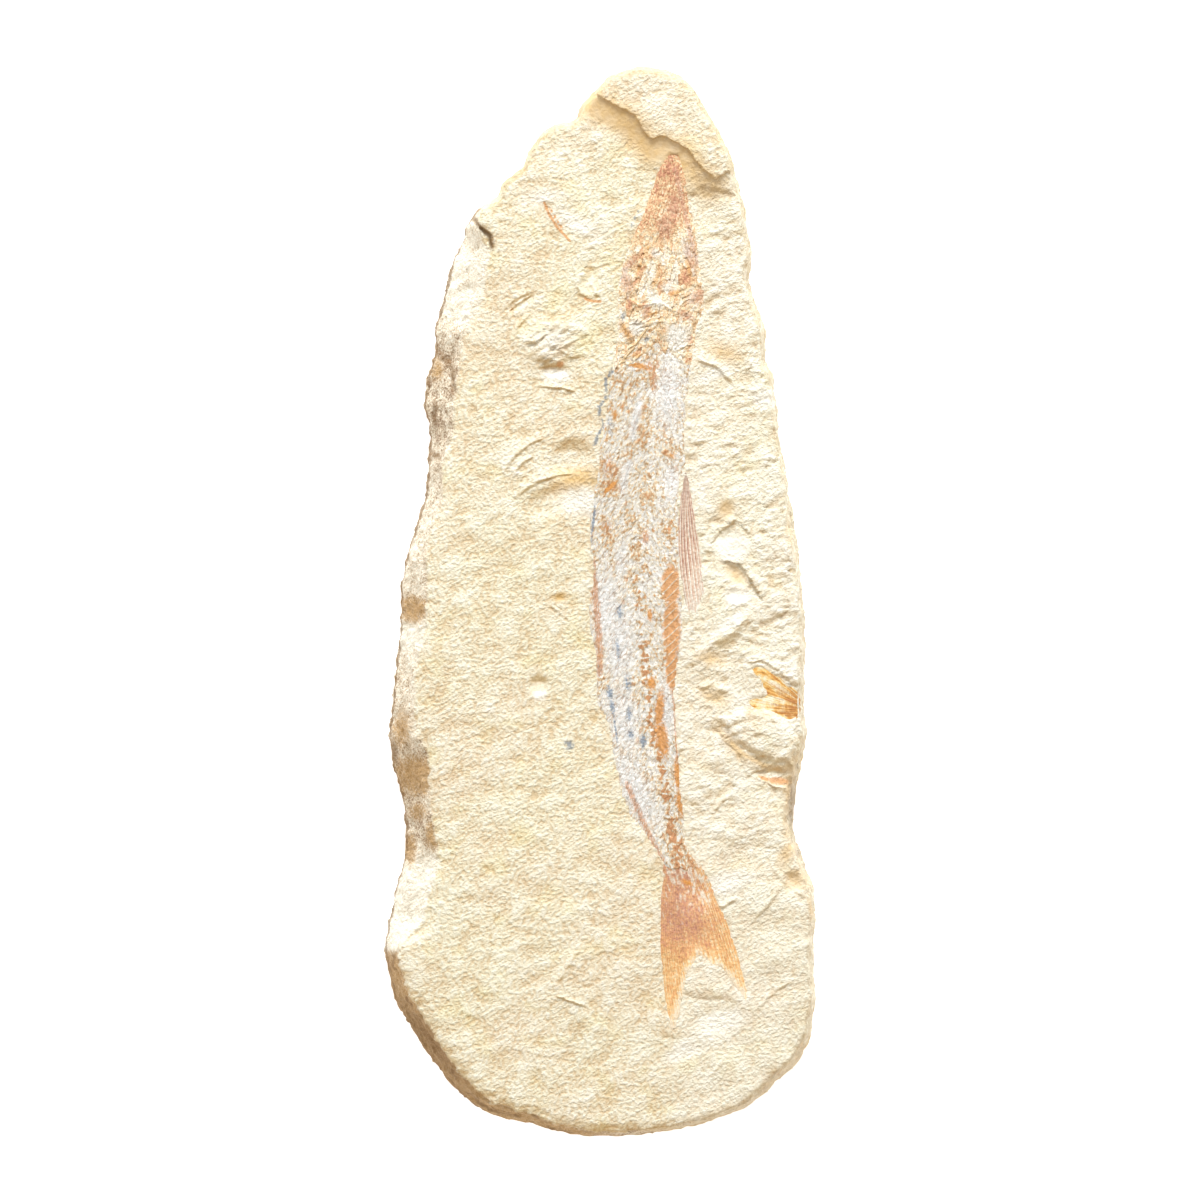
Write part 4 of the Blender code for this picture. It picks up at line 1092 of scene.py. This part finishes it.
def body():
    """The trunk: spool-shaped vertebrae, slanting ribs and the muscle's cross threads."""
    low, high = FISH[-1][0] - 1.2, SKULL_END + 0.6

    def place(across, along):
        ragged = 1.2 * lumps(across * 7, along * 0, 3) * ease(0.06, 0, along)
        x, y, spine = on_fish(across, low + ragged + (high - low) * along)
        side = x - spine
        off = abs(side) + 0.6 * KNOBS(x, y)
        rib = y + 1.7 * off
        dip = edge_dip(across, along, 20 - 12 * ease(-30, -60, y), 0) * ease(0, 0.004, along)
        step = (y + 0.8 * lumps(x / 3, y / 3, 2)) / VERTEBRA_PITCH
        step = abs(step - np.round(step))
        behind = ease(36, 12, y)
        waist = 0.35 + 2.6 * step - off
        spool = ease(-0.4, 0.3, waist) * (0.12 + 0.14 * step) * (0.3 + 0.7 * behind)
        comb = (0.5 + 0.5 * np.sin(math.tau * (rib + 0.8 * lumps(x / 3, y / 6, 8)) / RIB_PITCH)) ** 3
        ribs = 0.08 * comb * ease(0.8, 2.2, off) * (0.35 + 0.65 * behind)
        lean, border, own = splinters(x, y, 1.5, 0.7, 62, 17.5)
        rough = 0.11 * lean + 0.35 * np.minimum(border, 0.16) + 0.08 * KNOBS(x, y)
        rough += 0.03 * SCALES(x, y) + 0.07 * FOLDS(side * 0.6 + y * 0.3, y)
        marks = stains(x, y, BODY_SPOTS, BODY_STREAKS)
        muscle = ease(0.35, 0.65, marks["muscle"])
        threads = math.tau * (y - 0.9 * x) / THREAD_PITCH + 2 * lumps(x / 5, y / 5, 12)
        cross = (0.5 + 0.5 * np.cos(threads)) ** 8
        rough = rough * (1 - 0.6 * muscle) + 0.12 * cross * muscle
        ridges = broken_edges(x, y, BODY_RIDGES)
        height = -TUCKED + dip * (SKIN + spool + ribs * (1 - muscle) + rough + ridges)
        hourglass = ease(-0.3, 0.3, waist) * ease(0.46, 0.38, step) * ease(16, -10, y)
        hourglass *= 0.45 + 1.2 * lumps(x / 2.5, y / 2.5, 33) + 1.1 * KNOBS(x, y)
        flecks = 0.5 * SCALES(x, y) + 0.35 * KNOBS(x, y)
        warm = 0.32 + 0.24 * BLOTCHES(x, y) + 0.16 * own - 0.5 * rough
        warm += hourglass + tones_at(x, y, BODY_TONES) + flecks
        marks["warm"] = warm + 0.5 * ease(-50, -64, y) * ease(-4, 0, side) - 0.12 * comb * behind
        marks["thread"] = 0.8 * cross * muscle
        marks["muscle"] -= 0.2 * cross * ease(18, 15.5, x)
        cracked = (0.8 + 0.9 * KNOBS(x + 9, y)) * (1 - muscle) * ease(-66, -56, y)
        marks["crack"] = ease(0.16, 0.02, border) * cracked
        return x, y, height, (side, rib), marks

    sheet("body_skin", 100, 650, place, skin_film(), "body", "fossil_film")


def wandering(across, along):
    """The share across a fin, shifted a little along the way so that no ray is quite straight."""
    return across + 0.012 * lumps(across * 5, along * 3, 4)


def fan(name, node, slot, fin, grid, rays, material, marks, lift):
    """A fin: its rays spread from the base to the frayed ends, and stop short of the rim."""
    base, ends, _ = fin
    length = math.dist(base[0], ends[0])

    def place(across, along):
        frayed = 1 + 0.06 * lumps(across * 14, along * 0, 7) * ease(0.7, 1, along)
        x, y = on_fan(*fin, across, (along * 1.03 - 0.03) * frayed)
        dip = edge_dip(across, 0.5 + along / 2, 3 + 12 * along, length)
        wave = 0.5 + 0.5 * np.cos(math.tau * wandering(across, along) * rays)
        height = -TUCKED + dip * (lift + 0.08 * wave + 0.04 * KNOBS(x, y))
        height -= 0.8 * ease(0.8, -0.1, depth_inside(x, y, rim_loop()))
        way = (across * math.dist(ends[0], ends[-1]), along * length)
        return x, y, height, way, marks(across, along, x, y, wave)

    sheet(name, *grid, place, material, node, slot)


def tail_marks(across, along, x, y, wave):
    """Reddish at the root with pale scratches and bare spots, orange towards the lobes' ends."""
    pinkish = ease(-97, -80, y) * (1 - 0.3 * ease(0.55, 0.95, across))
    scratches = 0.8 * FOLDS(1.5 * x + 0.5 * y, 2 * y) + 0.6 * KNOBS(1.6 * x, y) + 0.36
    bright = 0.16 + 0.14 * ease(0.5, 0.8, across) * ease(-95, -85, y)
    bare = spot_strength(x, y, TAIL_BARE)
    return {
        "warm": 0.42 + 0.26 * pinkish - bright * wave - 0.4 * ease(0.86, 1, along) + 0.2 * KNOBS(x, y * 0.5),
        "plum": 0.57 * pinkish - 0.3 * abs(across - 0.4),
        "chalk": np.minimum(bare, 0.55) * 0.4 + scratches * ease(-92, -70, y) * 0.66,
        "amber": spot_strength(x, y, TAIL_AMBER),
    }


def dorsal_marks(across, along, x, y, _):
    """A dark line beside each pale ray, fainter where the fin is worn."""
    worn = ease(0.6, 1, along)
    part = wandering(across, along) * DORSAL_RAYS % 1
    bare = ease(0.24, 0.12, part) + ease(0.92, 1, part)
    dark = ease(0.14, 0.24, part) * ease(0.5, 0.34, part)
    dark *= (1 - 0.6 * worn) * (0.8 + 1.2 * KNOBS(x, y * 0.5))
    return {"warm": 0.44 + 0.6 * dark - 0.6 * bare - 0.2 * worn, "plum": 0.58 * dark}


def scrap_marks(across, along, x, y, wave):
    """Yellow with rusty streaks along the rays."""
    streaked = 0.7 * FOLDS(across * 11, along * 8) + 0.3 * KNOBS(x, y)
    rust = 0.45 + 0.5 * FOLDS(across * 18 + 3, along * 9)
    return {"warm": 0.42 + 0.14 * wave + streaked, "rust": rust * ease(0.95, 0.5, along)}


def fins():
    """The reddish tail, the pale dorsal fin and the yellow scrap at the rim."""
    red = ((0.0, "#FFF0D6"), (0.3, "#FCD69C"), (0.55, "#F3B778"), (0.8, "#DFA07C"), (1.0, "#BC8068"))
    pale = ((0.0, "#F8F1E6"), (0.3, "#ECD8C4"), (0.5, "#E0BEA6"), (0.75, "#C0907A"), (1.0, "#9C6A58"))
    yellow = ((0.0, "#FBF3DA"), (0.3, "#F6DDA6"), (0.55, "#ECBA68"), (0.8, "#D6964C"), (1.0, "#B97C48"))
    tail, dorsal = fin_rays("fossil_fin_rays_tail", red), fin_rays("fossil_fin_rays_dorsal", pale)
    scrap = fin_rays("fossil_fin_scrap", yellow)
    for node, slot, fin, grid, rays, material, marks, lift in (
        ("tail_fin", "fossil_fin_rays", TAIL, (150, 220), TAIL_RAYS, tail, tail_marks, 0.06),
        ("dorsal_fin", "fossil_fin_rays", DORSAL, (44, 160), DORSAL_RAYS, dorsal, dorsal_marks, 0.06),
        ("fin_scrap", "amber_fin", SCRAP, (90, 70), SCRAP_RAYS, scrap, scrap_marks, 0.12),
    ):
        fan(node + "_rays", node, slot, fin, grid, rays, material, marks, lift)


# ---------------------------------------------------------------- floor, light and camera

LENS, SENSOR = 800, 36  # mm
SHOWN = 300 * MM  # what the frame takes in at the height of the split face


def aim(light, target):
    way = Vector(target) - light.location
    light.rotation_euler = way.to_track_quat("-Z", "Y").to_euler()


def floor():
    """White acrylic lit from below, so that the slab's shadow stays faint."""
    bm = bmesh.new()
    bmesh.ops.create_grid(bm, x_segments=1, y_segments=1, size=3)
    bmesh.ops.translate(bm, verts=bm.verts, vec=(0, 0, -0.02 * MM))
    mesh = bpy.data.meshes.new("studio_floor")
    bm.to_mesh(mesh)
    bm.free()
    made = bpy.data.objects.new("studio_floor", mesh)
    material, _, shader = start_material("white_acrylic_light_table", 0.8, 1.49)
    shader.inputs["Base Color"].default_value = linear("#F4F4F4")
    shader.inputs["Emission Color"].default_value = (1, 1, 1, 1)
    shader.inputs["Emission Strength"].default_value = 0.8
    mesh.materials.append(material)
    bpy.context.scene.collection.objects.link(made)


def studio():
    """One large soft key light beyond the snout, a weak fill at the left and pale surroundings."""
    world = bpy.data.worlds.new("studio")
    bpy.context.scene.world = world
    world.use_nodes = True
    tree = world.node_tree
    back = tree.nodes["Background"]
    seen = add(tree, "ShaderNodeLightPath", {}, {}).outputs["Is Camera Ray"]
    strength = add(tree, "ShaderNodeMapRange", {}, {"Value": seen, "To Min": 0.6, "To Max": 1.0})
    back.inputs["Color"].default_value = linear("#FFF1DE")
    tree.links.new(strength.outputs[0], back.inputs["Strength"])
    for name, place, size, power in (
        ("key", (0.15, 2.1, 1.3), 0.75, 72),
        ("fill", (-1.4, -0.3, 0.9), 1.0, 2.5),
    ):
        data = bpy.data.lights.new(name, "AREA")
        data.color = linear("#F6FBFF")[:3]
        data.size = size
        data.energy = power
        light = bpy.data.objects.new(name, data)
        light.location = place
        bpy.context.scene.collection.objects.link(light)
        aim(light, (0, 0, FACE * MM))


def camera():
    """Looks straight down on the split face from far off."""
    data = bpy.data.cameras.new("camera")
    data.lens = LENS
    data.sensor_width = SENSOR
    data.clip_start, data.clip_end = 0.05, 10
    made = bpy.data.objects.new("camera", data)
    made.location = (0.125 * MM, 0.25 * MM, FACE * MM + SHOWN * LENS / SENSOR)
    bpy.context.scene.collection.objects.link(made)
    bpy.context.scene.camera = made


slab()
skull()
body()
fins()
floor()
studio()
camera()
bpy.context.scene.view_settings.view_transform = "Standard"
